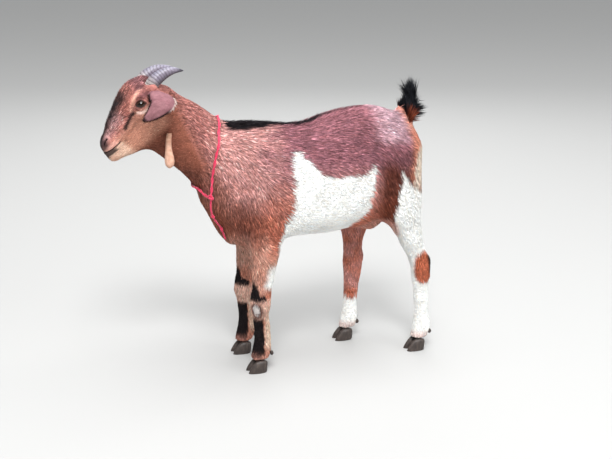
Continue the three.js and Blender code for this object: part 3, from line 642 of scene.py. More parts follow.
points = read_points(skin.data)
edges = edge_list(skin.data)
points = smoothed(points, edges, smoothing_passes(points))
write_points(skin.data, points)
on_dock = (points[:, 0] < -0.325) & (points[:, 2] > 0.545)
gap = signed_gap(points, outline)
gap = np.where(on_dock, -coat_depth(points), gap)
gap = smoothed(gap[:, None], edges, np.where(is_head(points) > 0.5, 4, 18))[:, 0]
points += read_normals(skin.data) * (-coat_depth(points) - gap)[:, None]
write_points(skin.data, points)
print("skin points:", len(points))

# %% [markdown]
# ## Finer net where the detail is
# The face needs lids, nostrils and lips, so its faces are subdivided once all over and again
# round the eyes and the muzzle. New points lie on flat faces, so a light smoothing rounds them.

# %% Subdivide the face
EYE_U, EYE_Y, EYE_V, EYE_R = 60.5, 31.5, 8.5, 0.0125


def subdivide_where(piece, chosen):
    """Splits every face that has a chosen point."""
    only(piece)
    bpy.ops.object.mode_set(mode="EDIT")
    bpy.ops.mesh.select_mode(type="VERT")
    bpy.ops.mesh.select_all(action="DESELECT")
    bpy.ops.object.mode_set(mode="OBJECT")
    piece.data.vertices.foreach_set("select", chosen)
    bpy.ops.object.mode_set(mode="EDIT")
    bpy.ops.mesh.select_mode(type="FACE")
    bpy.ops.mesh.select_mode(type="VERT")
    bpy.ops.mesh.subdivide(number_cuts=1)
    bpy.ops.mesh.quads_convert_to_tris(quad_method="BEAUTY", ngon_method="BEAUTY")
    bpy.ops.mesh.tris_convert_to_quads()
    bpy.ops.object.mode_set(mode="OBJECT")
    split = read_points(piece.data)
    return smoothed(split, edge_list(piece.data), np.where(is_head(split) > 0.6, 2.0, 0.0))


points = read_points(skin.data)
write_points(skin.data, subdivide_where(skin, is_head(points) > 0.6))


def near_features(points):
    """Near an eye, a nostril or the lips."""
    u, y, v = on_head(points)
    eye = np.hypot(np.hypot(u - EYE_U, np.abs(y) - 38), v - EYE_V) < 24
    muzzle = (u > 138) & (is_head(points) > 0.6)
    return eye | muzzle


points = read_points(skin.data)
write_points(skin.data, subdivide_where(skin, near_features(points)))
print("skin points:", len(skin.data.vertices), "faces:", len(skin.data.polygons))

# %% [markdown]
# ## Lids, nostrils, lips and muscles
# A groove or a ridge follows a few points that are snapped onto the skin. Points near it move in
# or out along their normals. Over each eye the skin is shaped as lids: inside the almond opening
# it sinks behind the eyeball, and round it a soft rim stands just over the ball.

# %% Grooves and ridges
def skin_tree(piece):
    return BVHTree.FromPolygons([v.co.copy() for v in piece.data.vertices],
                                [list(p.vertices) for p in piece.data.polygons])


def distance_to_line(points, line):
    """The least distance from each point to a line through several points."""
    best = np.full(len(points), 1e9)
    for a, b in zip(line[:-1], line[1:]):
        along = np.clip(((points - a) @ (b - a)) / max((b - a) @ (b - a), 1e-12), 0, 1)
        best = np.minimum(best, np.linalg.norm(points - a - along[:, None] * (b - a), axis=1))
    return best


def snapped(line, tree):
    fine = smooth_route(line, 6 * len(line))
    return np.array([tree.find_nearest(Vector(p))[0] for p in fine])


def press(points, normals, tree, line, depth, width):
    """Presses a groove of that depth and half width, both in millimetres. A ridge is below 0."""
    away = distance_to_line(points, snapped(line, tree)) * 1000
    return points - normals * (depth / 1000 * np.exp(-((away / width) ** 2)))[:, None]


MOUTH = [(188, 1, -6), (184, 10, -4), (176, 17, -6), (166, 21, -9), (156, 21, -11), (146, 21, -11)]
NOSTRIL = [(160, 18, 13), (166, 17, 12), (171, 14.5, 8)]


FACE_LINES = [
    # depth, half width, then points in the head's frame on the left side
    (2.8, 1.6, MOUTH),
    (-0.9, 3.2, [(182, 9, 3), (172, 18, 0), (160, 22, -6), (150, 22, -9)]),
    (-1.3, 3.6, [(182, 7, -10), (172, 13, -14), (160, 17, -18)]),
    (1.2, 2.2, [(146, 21, -11), (140, 21, -14), (136, 20, -20)]),
    (3.6, 1.7, NOSTRIL + [(173, 12, 4)]),
    (-1.4, 3.4, [(156, 17, 17), (164, 14, 18), (172, 10, 13), (177, 8, 6)]),
    (0.9, 3.0, [(150, 21, 10), (156, 21, 2), (163, 20, -2)]),
    (1.5, 4.0, [(76, 28, 12), (92, 26, 13), (110, 24, 9)]),
    (1.0, 5.0, [(84, 27, -8), (104, 24, -14), (124, 21, -16)]),
    (-1.2, 4.5, [(66, 34, 0), (86, 29, -4), (108, 25, -8)]),
    (1.3, 4.0, [(30, 34, -2), (24, 33, -18), (30, 30, -34)]),
]


def shape_face(points, normals, tree, side):
    for depth, width, line in FACE_LINES:
        world = np.array([head_point(u, y * side, v) for u, y, v in line])
        points = press(points, normals, tree, world, depth, width)
    return points


BODY_LINES = [
    # depth, half width, then points in millimetres on the left side
    (-2.6, 16, [(106, 60, 530), (122, 62, 480), (132, 62, 430)]),
    (3.0, 15, [(58, 70, 500), (62, 80, 440), (50, 84, 390)]),
    (-3.0, 20, [(72, 76, 400), (60, 74, 360), (44, 70, 330)]),
    (2.6, 9, [(34, 76, 330), (50, 78, 300), (56, 76, 268)]),
    (3.2, 24, [(-176, 70, 500), (-184, 84, 450), (-180, 86, 410)]),
    (2.4, 11, [(-262, 90, 420), (-282, 84, 360), (-300, 78, 300)]),
    (-1.6, 12, [(-236, 84, 440), (-250, 86, 380)]),
    (1.7, 4.5, [(42, 66, 140), (42, 66, 108), (41, 66, 76)]),
    (1.7, 4.5, [(42, 50, 140), (42, 50, 108), (41, 50, 76)]),
    (1.6, 5, [(44, 68, 260), (48, 68, 232), (50, 68, 206)]),
]
LEFT_HIND_LINES = [
    (2.2, 4.5, [(-318, 66, 286), (-326, 66, 252), (-334, 66, 224)]),
    (1.7, 4.5, [(-350, 68, 172), (-350, 67, 130), (-350, 67, 84)]),
    (-1.3, 6, [(-334, 74, 206), (-336, 74, 190)]),
]
RIGHT_HIND_LINES = [
    (2.2, 4.5, [(-230, 66, 286), (-228, 66, 252), (-228, 66, 220)]),
    (1.7, 4.5, [(-225, 68, 162), (-222, 67, 130), (-219, 67, 84)]),
    (-1.3, 6, [(-214, 74, 196), (-214, 74, 180)]),
]


def shape_body(points, normals, tree):
    for side, extra in ((LEFT, LEFT_HIND_LINES), (RIGHT, RIGHT_HIND_LINES)):
        for depth, width, line in BODY_LINES + extra:
            world = np.array([(x, y * side, z) for x, y, z in line]) / 1000
            points = press(points, normals, tree, world, depth, width)
    return points


# %% Knees, and the hard pad on each
KNEE_PAD = np.array((0.065, 0.076, 0.152))
KNEE_PAD_SIZE = np.array((0.010, 0.010, 0.012))


def shape_knees(points, normals):
    """The knee is a broad block with a hard pad low on its front."""
    for _, side in SIDES:
        pad = np.linalg.norm((points - KNEE_PAD * (1, side, 1)) / KNEE_PAD_SIZE, axis=1)
        points = points + normals * (0.0022 * np.exp(-(pad**2)))[:, None]
    return points


# %% Eyelids
def eye_frame(side):
    """The eye's middle, and directions along its slit, up across it and outwards."""
    middle = head_point(EYE_U, EYE_Y * side, EYE_V)
    out = unit(np.array((0.34, 0.88 * side, 0.33)))
    slit = np.array((1, 0, -0.13))
    slit = unit(slit - out * (slit @ out))
    up = np.cross(out, slit)
    return middle, slit, up if up[2] > 0 else -up, out


SLIT_HALF, SLIT_HIGH = 0.0112, 0.0080


def eye_opening(points, side):
    """0 at the middle of the opening between the lids and 1 at its edge, and places round the eye."""
    middle, slit, up, out = eye_frame(side)
    local = points - middle
    a, b, w = local @ slit, local @ up, local @ out
    lift = np.where(b > 0, 1.0, 0.86)
    high = SLIT_HIGH * lift * (1 - 0.35 * (a / SLIT_HALF) ** 2).clip(0.3)
    return np.hypot(a / SLIT_HALF, b / high), a, b, w


def shape_lids(points, side):
    out = eye_frame(side)[3]
    opening, a, b, w = eye_opening(points, side)
    span = np.hypot(a, b)
    ball_w = np.sqrt(np.maximum(EYE_R**2 - span**2, 0.2 * EYE_R**2))
    front = w > 0
    rim = np.exp(-(((opening - 1.22) / 0.2) ** 2))
    crease = np.exp(-(((opening - 1.95) / 0.28) ** 2)) * smoothstep(-0.002, 0.003, b)
    bag = np.exp(-(((opening - 2.1) / 0.35) ** 2)) * smoothstep(0.001, -0.004, b)
    over = ball_w + 0.0007 + 0.0012 * rim
    goal = np.where(opening < 1, ball_w - 0.0018 * smoothstep(1.0, 0.8, opening), over)
    hold = smoothstep(2.0, 1.25, opening) * front
    moved = w * (1 - hold) + goal * hold - (0.0013 * crease + 0.0008 * bag) * front
    covering = front & (opening > 1.05) & (span < EYE_R)
    moved = np.where(covering, np.maximum(moved, ball_w + 0.0009), moved)
    return points + out * (moved - w)[:, None]


points = read_points(skin.data)
normals = read_normals(skin.data)
tree = skin_tree(skin)
for _, side in SIDES:
    points = shape_face(points, normals, tree, side)
points = shape_body(points, normals, tree)
points = shape_knees(points, normals)
for _, side in SIDES:
    points = shape_lids(points, side)
write_points(skin.data, points)
skin.data.polygons.foreach_set("use_smooth", np.ones(len(skin.data.polygons), bool))
print("skin shaped")

# %% [markdown]
# ## Markings
# The goat is tan brown with a deeper brown on its thighs, which is partly painted shade, a white flank
# and belly, white on its hind legs, black down the fronts of its forelegs, and a black line along its
# back. Painted light and shade are laid in too: a highlight on top of the rump, shade behind the elbows
# and over the eyes, and in part under the neck. One function tells the colour at any place, so the
# skin and the coat over it always agree. Each mark is a named outline or line seen from the side, and
# soft noise makes its edge ragged as hair is.

# %% Outlines and lines as masks
def edge_distance(x, z, corners):
    """Millimetres inside a closed outline, below 0 outside it."""
    corners = np.asarray(corners, float)
    inside = np.zeros(len(x), bool)
    best = np.full(len(x), 1e9)
    for (ax, az), (bx, bz) in zip(corners, np.roll(corners, -1, 0)):
        crosses = (az > z) != (bz > z)
        inside ^= crosses & (x < (bx - ax) * (z - az) / np.where(bz == az, 1e-9, bz - az) + ax)
        square = (bx - ax) ** 2 + (bz - az) ** 2
        t = np.clip(((x - ax) * (bx - ax) + (z - az) * (bz - az)) / square, 0, 1)
        best = np.minimum(best, np.hypot(x - ax - t * (bx - ax), z - az - t * (bz - az)))
    return np.where(inside, best, -best)


def along_line(points, line, width, soft):
    """1 within a half width of a line in millimetres, fading to 0."""
    away = distance_to_line(points * 1000, np.asarray(line, float))
    return smoothstep(width + soft, max(width - soft, 0), away)


def blend(under, over, share):
    return under * (1 - share[:, None]) + np.asarray(over) * share[:, None]


def layered(colour, *layers):
    """Lays colours over one, in turn. Each is a screen code or a linear colour, with its share."""
    for over, share in layers:
        colour = blend(colour, tone(over) if isinstance(over, str) else over, share)
    return colour


# %% Colours of the coat
SHOULDER = tone("d09a95")
LOIN = tone("96646c")
RUST = tone("b5654a")
# a deeper brown, darkened partly as painted shade for the thighs; also the root of the tail hair
DEEP_BROWN_AND_SHADE = tone("5c2a1a")
# dark brown: painted shade behind the elbows, and the dark ring round each knee pad
DARK_BROWN_AND_SHADE = tone("4e2c25")
NECK = tone("b4776f")
# darker brown of the throat, partly painted shade under the neck and jaw
THROAT_BROWN_AND_SHADE = tone("7c4937")
PALE_TAN = tone("dcb4a4")
CREAM = tone("efdccb")
WHITE = tone("fbfbf8")
BLACK = tone("0a0c11")
PINK_SKIN = tone("c98f80")
GREY_PAD = tone("c4bcb9")

FLANK = {
    LEFT: [(-14, 503), (-34, 497), (-50, 478), (-73, 450), (-112, 444), (-174, 442), (-187, 456),
           (-203, 465), (-207, 457), (-204, 423), (-200, 391), (-187, 349), (-160, 324), (-140, 200),
           (76, 200), (46, 262), (33, 280), (17, 310), (5, 347), (-8, 375), (-10, 409), (-7, 452)],
    RIGHT: [(-40, 486), (-70, 470), (-96, 452), (-140, 452), (-178, 446), (-196, 462), (-210, 440),
            (-214, 400), (-204, 360), (-180, 326), (-150, 200), (60, 200), (30, 262), (10, 290),
            (-4, 330), (-16, 372), (-30, 410), (-34, 450)],
}
HIND_WHITE = {
    LEFT: [(-268, 450), (-264, 412), (-250, 363), (-252, 316), (-269, 275), (-290, 240), (-296, 150),
           (-300, 40), (-400, 40), (-400, 300), (-380, 400), (-322, 404), (-290, 418)],
    RIGHT: [(-262, 420), (-258, 380), (-246, 340), (-240, 300), (-236, 262), (-252, 236), (-290, 240),
            (-340, 330), (-380, 400), (-322, 408), (-286, 424)],
}
UDDER = [(-158, 292), (-180, 312), (-207, 335), (-241, 341), (-262, 322), (-270, 296), (-240, 280),
         (-158, 276)]
DORSAL = [(-205, 0), (-150, 7), (-60, 10), (0, 14), (60, 23), (98, 28), (120, 24), (129, 0)]


def leg_share(points):
    """How far each point belongs to a foreleg and to a hind leg."""
    x, z = points[:, 0] * 1000, points[:, 2] * 1000
    fore = smoothstep(300, 255, z) * (x > -60)
    hind = smoothstep(330, 280, z) * (x < -120)
    return fore, hind


def body_colour(points):
    """Tan brown, mauve over the loin, a painted highlight on top of the rump, painted shade behind the
    elbows, and a deeper brown on the thighs and the throat that is partly painted shade.
    """
    x, y, z = (points * 1000).T
    side = np.sign(y.mean())
    drift = ripple(points, 0.05, 3)
    loin = smoothstep(80, -20, x + 20 * drift) * smoothstep(400, 480, z)
    # painted highlight: a paler tone over the top of the rump, where light from above falls
    rump = smoothstep(-190, -235, x) * smoothstep(500, 530, z + 8 * drift)
    low = smoothstep(460, 350, z + 18 * drift)
    # deeper brown on the thigh, partly painted shade
    thigh_brown_and_shade = smoothstep(-196, -236, x) * smoothstep(505, 430, z + 14 * drift)
    buttock = smoothstep(-280, -306, x) * smoothstep(395, 430, z)
    # painted shade: dark brown behind the elbow
    shade_behind_elbow = along_line(points, [(96, side * 80, 384), (86, side * 78, 350)], 30, 22)
    arm = smoothstep(350, 300, z) * smoothstep(30, 60, x)
    neck = smoothstep(118, 190, x) * smoothstep(400, 450, z)
    # partly painted shade: a darker brown under the neck and down the front of the chest
    under = smoothstep(-12, 45, 0.75 * (x - 150) + 480 - z) * smoothstep(95, 150, x)
    return layered(
        SHOULDER, (LOIN, loin), ("d2aeb8", rump * 0.85), (RUST, low * 0.85), (DEEP_BROWN_AND_SHADE, thigh_brown_and_shade * 0.9),
        ("d68d74", buttock * 0.9), (DARK_BROWN_AND_SHADE, shade_behind_elbow * 0.6),
        (PALE_TAN, arm * (0.45 + 0.25 * ripple(points, 0.03, 6))), (NECK, neck * 0.85),
        (THROAT_BROWN_AND_SHADE, under * (0.75 + 0.2 * drift)))


def white_marks(points, side, colour):
    """The white flank and belly, the white hind leg and the tan udder between the legs."""
    x, y, z = (points * 1000).T
    ragged_x = x + 2.5 * ripple(points, 0.016, 11) + 1.2 * ripple(points, 0.006, 12)
    ragged_z = z + 2.5 * ripple(points, 0.015, 13) + 1.5 * ripple(points, 0.006, 14)
    flank = smoothstep(-2, 2, edge_distance(ragged_x, ragged_z, FLANK[side]))
    arm = smoothstep(14, 26, x) * smoothstep(36, 48, np.abs(y)) * smoothstep(306, 296, z)
    back_leg = smoothstep(-2, 2, edge_distance(ragged_x, ragged_z, HIND_WHITE[side])) * (x < -170)
    behind = 0.36 * np.abs(y) - ragged_x - np.interp(z, [404, 500], [330, 340])
    strip = smoothstep(-3, 3, behind) * smoothstep(400, 420, z) * smoothstep(508, 492, z)
    udder = smoothstep(-6, 6, edge_distance(x, z, UDDER)) * smoothstep(106, 94, np.abs(y))
    return layered(colour, (WHITE, flank * (1 - arm)), (WHITE, back_leg), (CREAM, strip * 0.9),
                   (PINK_SKIN, udder * 0.85))


# Where the black begins: how far forward in millimetres, at heights in millimetres
FRONT_BLACK = [30, 60, 120, 150, 174, 182, 190, 212, 260], [56, 46, 48, 56, 43, 41, 50, 57, 60]


def foreleg_marks(points, side, colour, share):
    """Tan brown with a black front, a pale knee with a hard pad, and a pink fetlock."""
    x, y, z = (points * 1000).T
    front = (x - np.interp(z, *FRONT_BLACK)) / 12
    edge = front + 0.3 * ripple(points, 0.008, 22, (1, 1, 3))
    cannon = smoothstep(-0.2, 0.2, edge) * smoothstep(138, 126, z) * smoothstep(32, 44, z)
    band = smoothstep(-0.1, 0.3, edge) * smoothstep(171, 176, z) * smoothstep(190, 184, z)
    stripe = smoothstep(0.4, 0.75, edge) * smoothstep(180, 188, z) * smoothstep(220, 208, z)
    knee = smoothstep(120, 136, z) * smoothstep(186, 170, z)
    pad_line = [(65, side * 76, 158), (64, side * 76, 147)]
    rear = smoothstep(50, 40, x) * smoothstep(150, 120, z) * smoothstep(50, 70, z)
    spot = along_line(points, [(34, side * 68, 246), (36, side * 66, 212)], 17, 4) * smoothstep(54, 46, x)
    own = layered(
        RUST, (PALE_TAN, 0.35 + 0.25 * ripple(points, 0.03, 21)),
        (PALE_TAN, smoothstep(180, 230, z) * 0.45), (PALE_TAN, knee * 0.8), ("e6cdb8", rear * 0.75),
        (DARK_BROWN_AND_SHADE, along_line(points, pad_line, 13, 3) * 0.9),
        (BLACK, np.clip(cannon + band + stripe, 0, 1) * 0.985),
        (GREY_PAD, along_line(points, pad_line, 8, 1.5)), (PINK_SKIN, smoothstep(56, 40, z) * 0.5),
        (WHITE, spot * (1 if side == LEFT else 0.4)))
    return blend(colour, own, share)


def hind_marks(points, side, colour, share):
    """White on the left with a brown hock, and brown to the shank on the right."""
    z = points[:, 2] * 1000
    if side == LEFT:
        hock = along_line(points, [(-336, 70, 226), (-337, 72, 205), (-340, 72, 190)], 20, 4)
        behind = along_line(points, [(-357, 66, 228), (-359, 66, 200)], 9, 4)
        shank = smoothstep(164, 154, z + 5 * ripple(points, 0.01, 31))
        own = layered(colour, (RUST, hock), (BLACK, behind * 0.9), (WHITE, shank))
    else:
        shank = smoothstep(120, 96, z + 8 * ripple(points, 0.01, 33))
        behind = along_line(points, [(-213, -70, 250), (-214, -72, 190)], 11, 5)
        own = layered(RUST, (SHOULDER, 0.4 + 0.3 * ripple(points, 0.03, 32)), (WHITE, shank),
                      (PINK_SKIN, behind * 0.6))
    own = blend(own, PINK_SKIN, smoothstep(56, 40, z) * 0.5)
    return blend(colour, own, share)


# %% Colours of the face
BRIDGE = tone("1d1819")
CROWN = tone("5e4046")
CHEEK = tone("b98570")
LEATHER = tone("2c2326")
BROW_STRIPE = [(40, 35, 36), (52, 37, 33), (64, 35, 28), (76, 31, 22), (86, 28, 17)]
TEAR_LINE = [(85, 31, 11), (91, 29, 11), (99, 27, 9), (109, 26, 6), (120, 24, 1)]
# The slit of the lips: its height v in millimetres at places u from the corner to the front
LIP_SLIT = [140, 146, 156, 166, 176, 184, 190], [-14, -11, -11, -9, -6, -4, -7]


def face_colour(points, side):
    """Dark bridge and lips, a tan cheek, a pale stripe over the eye and a black line below it, painted
    shade under the brow, and a lower face that is darker, partly as painted shade.
    """
    u, y, v = on_head(points)
    out = np.abs(y)
    place = np.column_stack([u, out, v]) / 1000
    drift = ripple(points, 0.012, 42)
    cheek = smoothstep(34, 62, u) * smoothstep(16, -10, v) * smoothstep(-68, -46, v)
    nose_side = smoothstep(6, 20, v - 0.16 * (150 - u)) * smoothstep(96, 124, u)
    bridge = smoothstep(28, 12, out + 0.14 * (u - 80)) * smoothstep(46, 84, u)
    bridge = bridge * smoothstep(4, 16, v + 0.14 * (u - 110))
    stripe = along_line(place, BROW_STRIPE, 4.2, 4)
    # painted shade: a dark mauve band under the brow, over the eye
    shade_over_eye = along_line(place, [(36, 38, 17), (46, 41, 20), (56, 41, 22)], 7, 4)
    beside = along_line(place, [(80, 32, 6), (96, 29, 0), (112, 26, -5)], 6, 4)
    tear = along_line(place, TEAR_LINE, 4.4, 1.6)
    under_eye = along_line(place, [(50, 43, -2), (61, 43, -4), (71, 39, -1), (78, 34, 4)], 3.4, 1.8)
    below = np.interp(u, *LIP_SLIT) - v
    lip = smoothstep(140, 158, u) * smoothstep(-15, -9, below) * smoothstep(1, -1, below)
    jaw = smoothstep(138, 152, u) * smoothstep(0, 2, below)
    chin = smoothstep(166, 180, u) * smoothstep(13, 18, below)
    low_lip = smoothstep(158, 168, u) * smoothstep(0, 1.5, below)
    low_lip = low_lip * smoothstep(14, 10, below + 0.12 * (188 - u))
    nose = smoothstep(156, 172, u) * smoothstep(-3, 6, v - 0.1 * (170 - u))
    mouth = smoothstep(1.9, 0.7, np.abs(below)) * smoothstep(143, 147, u)
    opening, _, _, w = eye_opening(points, side)
    lids = np.exp(-(((opening - 1.08) / 0.17) ** 2)) * (w > 0)
    return layered(
        NECK,
        # partly painted shade: the lower side of the head is darker
        (THROAT_BROWN_AND_SHADE, smoothstep(0, -40, v) * 0.9),
        (CHEEK, cheek * 0.85),
        ("9a6258", smoothstep(8, 24, v) * smoothstep(28, 60, u) * 0.85),
        ("a48384", nose_side * 0.7),
        (BRIDGE, bridge * (0.93 + 0.07 * drift)),
        (CROWN, smoothstep(66, 40, u) * smoothstep(20, 36, v) * 0.8),
        ("d9a693", stripe * 0.75),
        ("6d464b", shade_over_eye * 0.8),
        ("a87a66", beside * 0.5),
        (BLACK, tear * 0.93),
        ("e4c6ba", under_eye * 0.8),
        ("c6968a", lip * 0.8),
        ("dfbba6", jaw * 0.85),
        ("b98a76", chin * 0.6),
        ("241a1e", low_lip * 0.92),
        (LEATHER, nose * 0.88),
        (LEATHER, smoothstep(180, 186, u) * smoothstep(2, 0, below) * 0.8),
        ("171113", mouth * 0.95),
        ("120c0d", along_line(place, NOSTRIL, 2.2, 1.2) * 0.95),
        ("1d1415", np.clip(lids, 0, 1) * 0.9))


# %% The whole goat's colour
def markings(points):
    """The coat's colour at each place, the same for the skin and the tufts."""
    result = np.empty_like(points)
    for side in (LEFT, RIGHT):
        mine = (points[:, 1] >= 0) == (side == LEFT)
        p = points[mine]
        colour = white_marks(p, side, body_colour(p))
        fore, hind = leg_share(p)
        colour = foreleg_marks(p, side, colour, fore)
        colour = hind_marks(p, side, colour, hind)
        result[mine] = blend(colour, face_colour(p, side), is_head(p))
    x, y, z = (points * 1000).T
    half_width = np.interp(x, *zip(*DORSAL))
    ridge = smoothstep(3, -3, np.abs(y) - half_width + 3 * ripple(points, 0.01, 51, (4, 1, 1)))
    ridge = ridge * smoothstep(480, 500, z) * (half_width > 1)
    result = blend(result, BLACK, ridge * (0.99 - 0.4 * smoothstep(-60, -180, x)))
    dock = smoothstep(-300, -316, x) * smoothstep(568, 584, z)
    result = blend(result, BLACK, dock)
    streak = 1 + 0.07 * ripple(points, 0.012, 52, (2.2, 1, 1)) + 0.05 * ripple(points, 0.03, 53)
    return np.clip(result * streak[:, None], 0, 1)


paint(skin, "coat_colour", markings(read_points(skin.data)))
print("skin painted")

# %% [markdown]
# ## The skin's finish
# Short fur that lies flat reads as fine broken streaks. The colour comes from the painted
# markings, and stretched noise darkens it here and there and raises it a little.

# %% Skin material
def attribute_node(tree, name):
    node = tree.nodes.new("ShaderNodeAttribute")
    node.attribute_name = name
    return node


def tinted(tree, colour, factor, dark, light):
    """A colour multiplied by a grey between dark and light, by a factor."""
    grey = ramp_node(tree, factor, [(0.3, (dark,) * 3), (0.7, (light,) * 3)])
    mix = tree.nodes.new("ShaderNodeMix")
    mix.data_type = "RGBA"
    mix.blend_type = "MULTIPLY"
    mix.inputs["Factor"].default_value = 1
    tree.links.new(colour, mix.inputs["A"])
    tree.links.new(grey.outputs["Color"], mix.inputs["B"])
    return mix.outputs["Result"]


def painted_finish(name, roughness, specular, attribute, grain, greys, bump=None):
    """A finish with painted colours, which noise darkens and lightens between two greys."""
    material, tree, shader = new_material(name, roughness, specular)
    noise = noise_node(tree, *grain).outputs["Fac"]
    colour = tinted(tree, attribute_node(tree, attribute).outputs["Color"], noise, *greys)
    tree.links.new(colour, shader.inputs["Base Color"])
    if bump:
        bump_node(tree, shader, noise, *bump)
    return material, shader


hide, _ = painted_finish("short fur", 0.75, 0.12, "coat_colour", (320, 5, 0.6, (2.5, 1, 2.5)), (0.72, 1.08),
                         (0.0012, 0.8))
ready(skin, "coat_brown", hide, *FLESH)

# %% [markdown]
# ## Eyes
# Each eye is a dark glossy ball with a brown iris and a goat's level slot of a pupil. It is a fine
# sphere turned to look outwards, and its colours are painted ring by ring round that direction.

# %% Eyes
EYE_WET = 0.10
IRIS_R, PUPIL_LONG, PUPIL_HIGH = 0.0074, 0.0052, 0.0019


def make_eye(side, word):
    middle, slit, up, out = eye_frame(side)
    bpy.ops.mesh.primitive_uv_sphere_add(segments=96, ring_count=64, radius=EYE_R, location=middle)
    eye = bpy.context.object
    eye.name = f"eyeball_{word}"
    bpy.ops.object.transform_apply(location=True, rotation=True, scale=True)
    bpy.ops.object.shade_smooth()
    points = read_points(eye.data)
    local = points - middle
    a, b, w = local @ slit, local @ up, local @ out
    from_middle = np.hypot(a, b)
    facing = w > 0
    bulge = 0.0011 * smoothstep(0.0086, 0.0040, from_middle) * facing
    write_points(eye.data, points + out * bulge[:, None])
    rays = 0.5 + 0.5 * np.sin(np.arctan2(b, a) * 23 + 3 * ripple(points, 0.004, 61))
    brown = blend(tone("180d08"), tone("38220f"), rays * 0.7)
    iris = smoothstep(IRIS_R + 0.0006, IRIS_R - 0.0006, from_middle) * facing
    ring = np.exp(-(((from_middle - IRIS_R) / 0.0009) ** 2)) * facing
    pupil = smoothstep(1.15, 0.9, np.hypot(a / PUPIL_LONG, b / PUPIL_HIGH)) * facing
    colour = layered(tone("3a2a26"), (brown, iris), ("0c0706", ring * 0.9), ("050505", pupil))
    paint(eye, "eye_colour", colour)
    return ready(eye, "eye", wet_eye, f"eye_{word}")


wet_eye, shader = painted_finish("wet eye", EYE_WET, 0.3, "eye_colour", (1500, 3), (0.8, 1.1))
shader.inputs["Coat Weight"].default_value = 0.22
shader.inputs["Coat Roughness"].default_value = 0.05
for word, side in SIDES:
    make_eye(side, word)
print("eyes made")

# %% [markdown]
# ## Horns
# A goat's horn is a curved sheath that grows at its root and leaves a ring for every spell of
# growth. It is a row of ovals along a curve, keeled in front, whose size dips between the rings.

# %% Tubes with a changing section
def lofted(name, rings):
    """Skins rows of points into a closed body, with a fan of faces at each end."""
    rings = np.asarray(rings)
    rows, around = rings.shape[:2]
    points = list(rings.reshape(-1, 3))
    faces = []
    for i in range(rows - 1):
        for k in range(around):
            n = (k + 1) % around
            a, b, c, d = i * around + k, i * around + n, (i + 1) * around + n, (i + 1) * around + k
            faces += [(a, b, c), (a, c, d)]
    for row in (0, rows - 1):
        points.append(rings[row].mean(0))
        hub = len(points) - 1
        for k in range(around):
            faces.append((hub, row * around + k, row * around + (k + 1) % around))
    piece = piece_from(name, np.array(points), faces)
    face_out(piece)
    return piece


def route_on(side, places, count):
    """A smooth route in metres through places in millimetres, on the goat's left or right."""
    return smooth_route([(x, y * side, z) for x, y, z in places], count) / 1000


def rows_at(rows, t, column):
    """A named size along a piece, from rows that start with how far along they are."""
    rows = np.asarray(rows, float)
    return np.interp(t, rows[:, 0], rows[:, column])


HORN_PATHS = {
    LEFT: [(272.7, 20, 640), (262.7, 25, 658), (242.7, 26, 672), (222.7, 27, 678), (201.7, 28, 677)],
    RIGHT: [(281.7, 20, 641), (271.7, 25, 659), (248.7, 26, 672), (225.7, 28, 675), (201.7, 30, 673)],
}
HORN_ROWS = [
    # along, then half depth and half width in millimetres
    (0, 15.1, 12.6), (0.15, 14.9, 12.2), (0.3, 14.1, 11.4), (0.45, 13, 10.3), (0.6, 11, 8.7),
    (0.72, 8.8, 7), (0.85, 5.8, 4.7), (0.94, 3.4, 2.8), (1, 1.2, 1.1)]
HORN_RINGS = 15
HORN_STEPS, HORN_AROUND = 110, 36


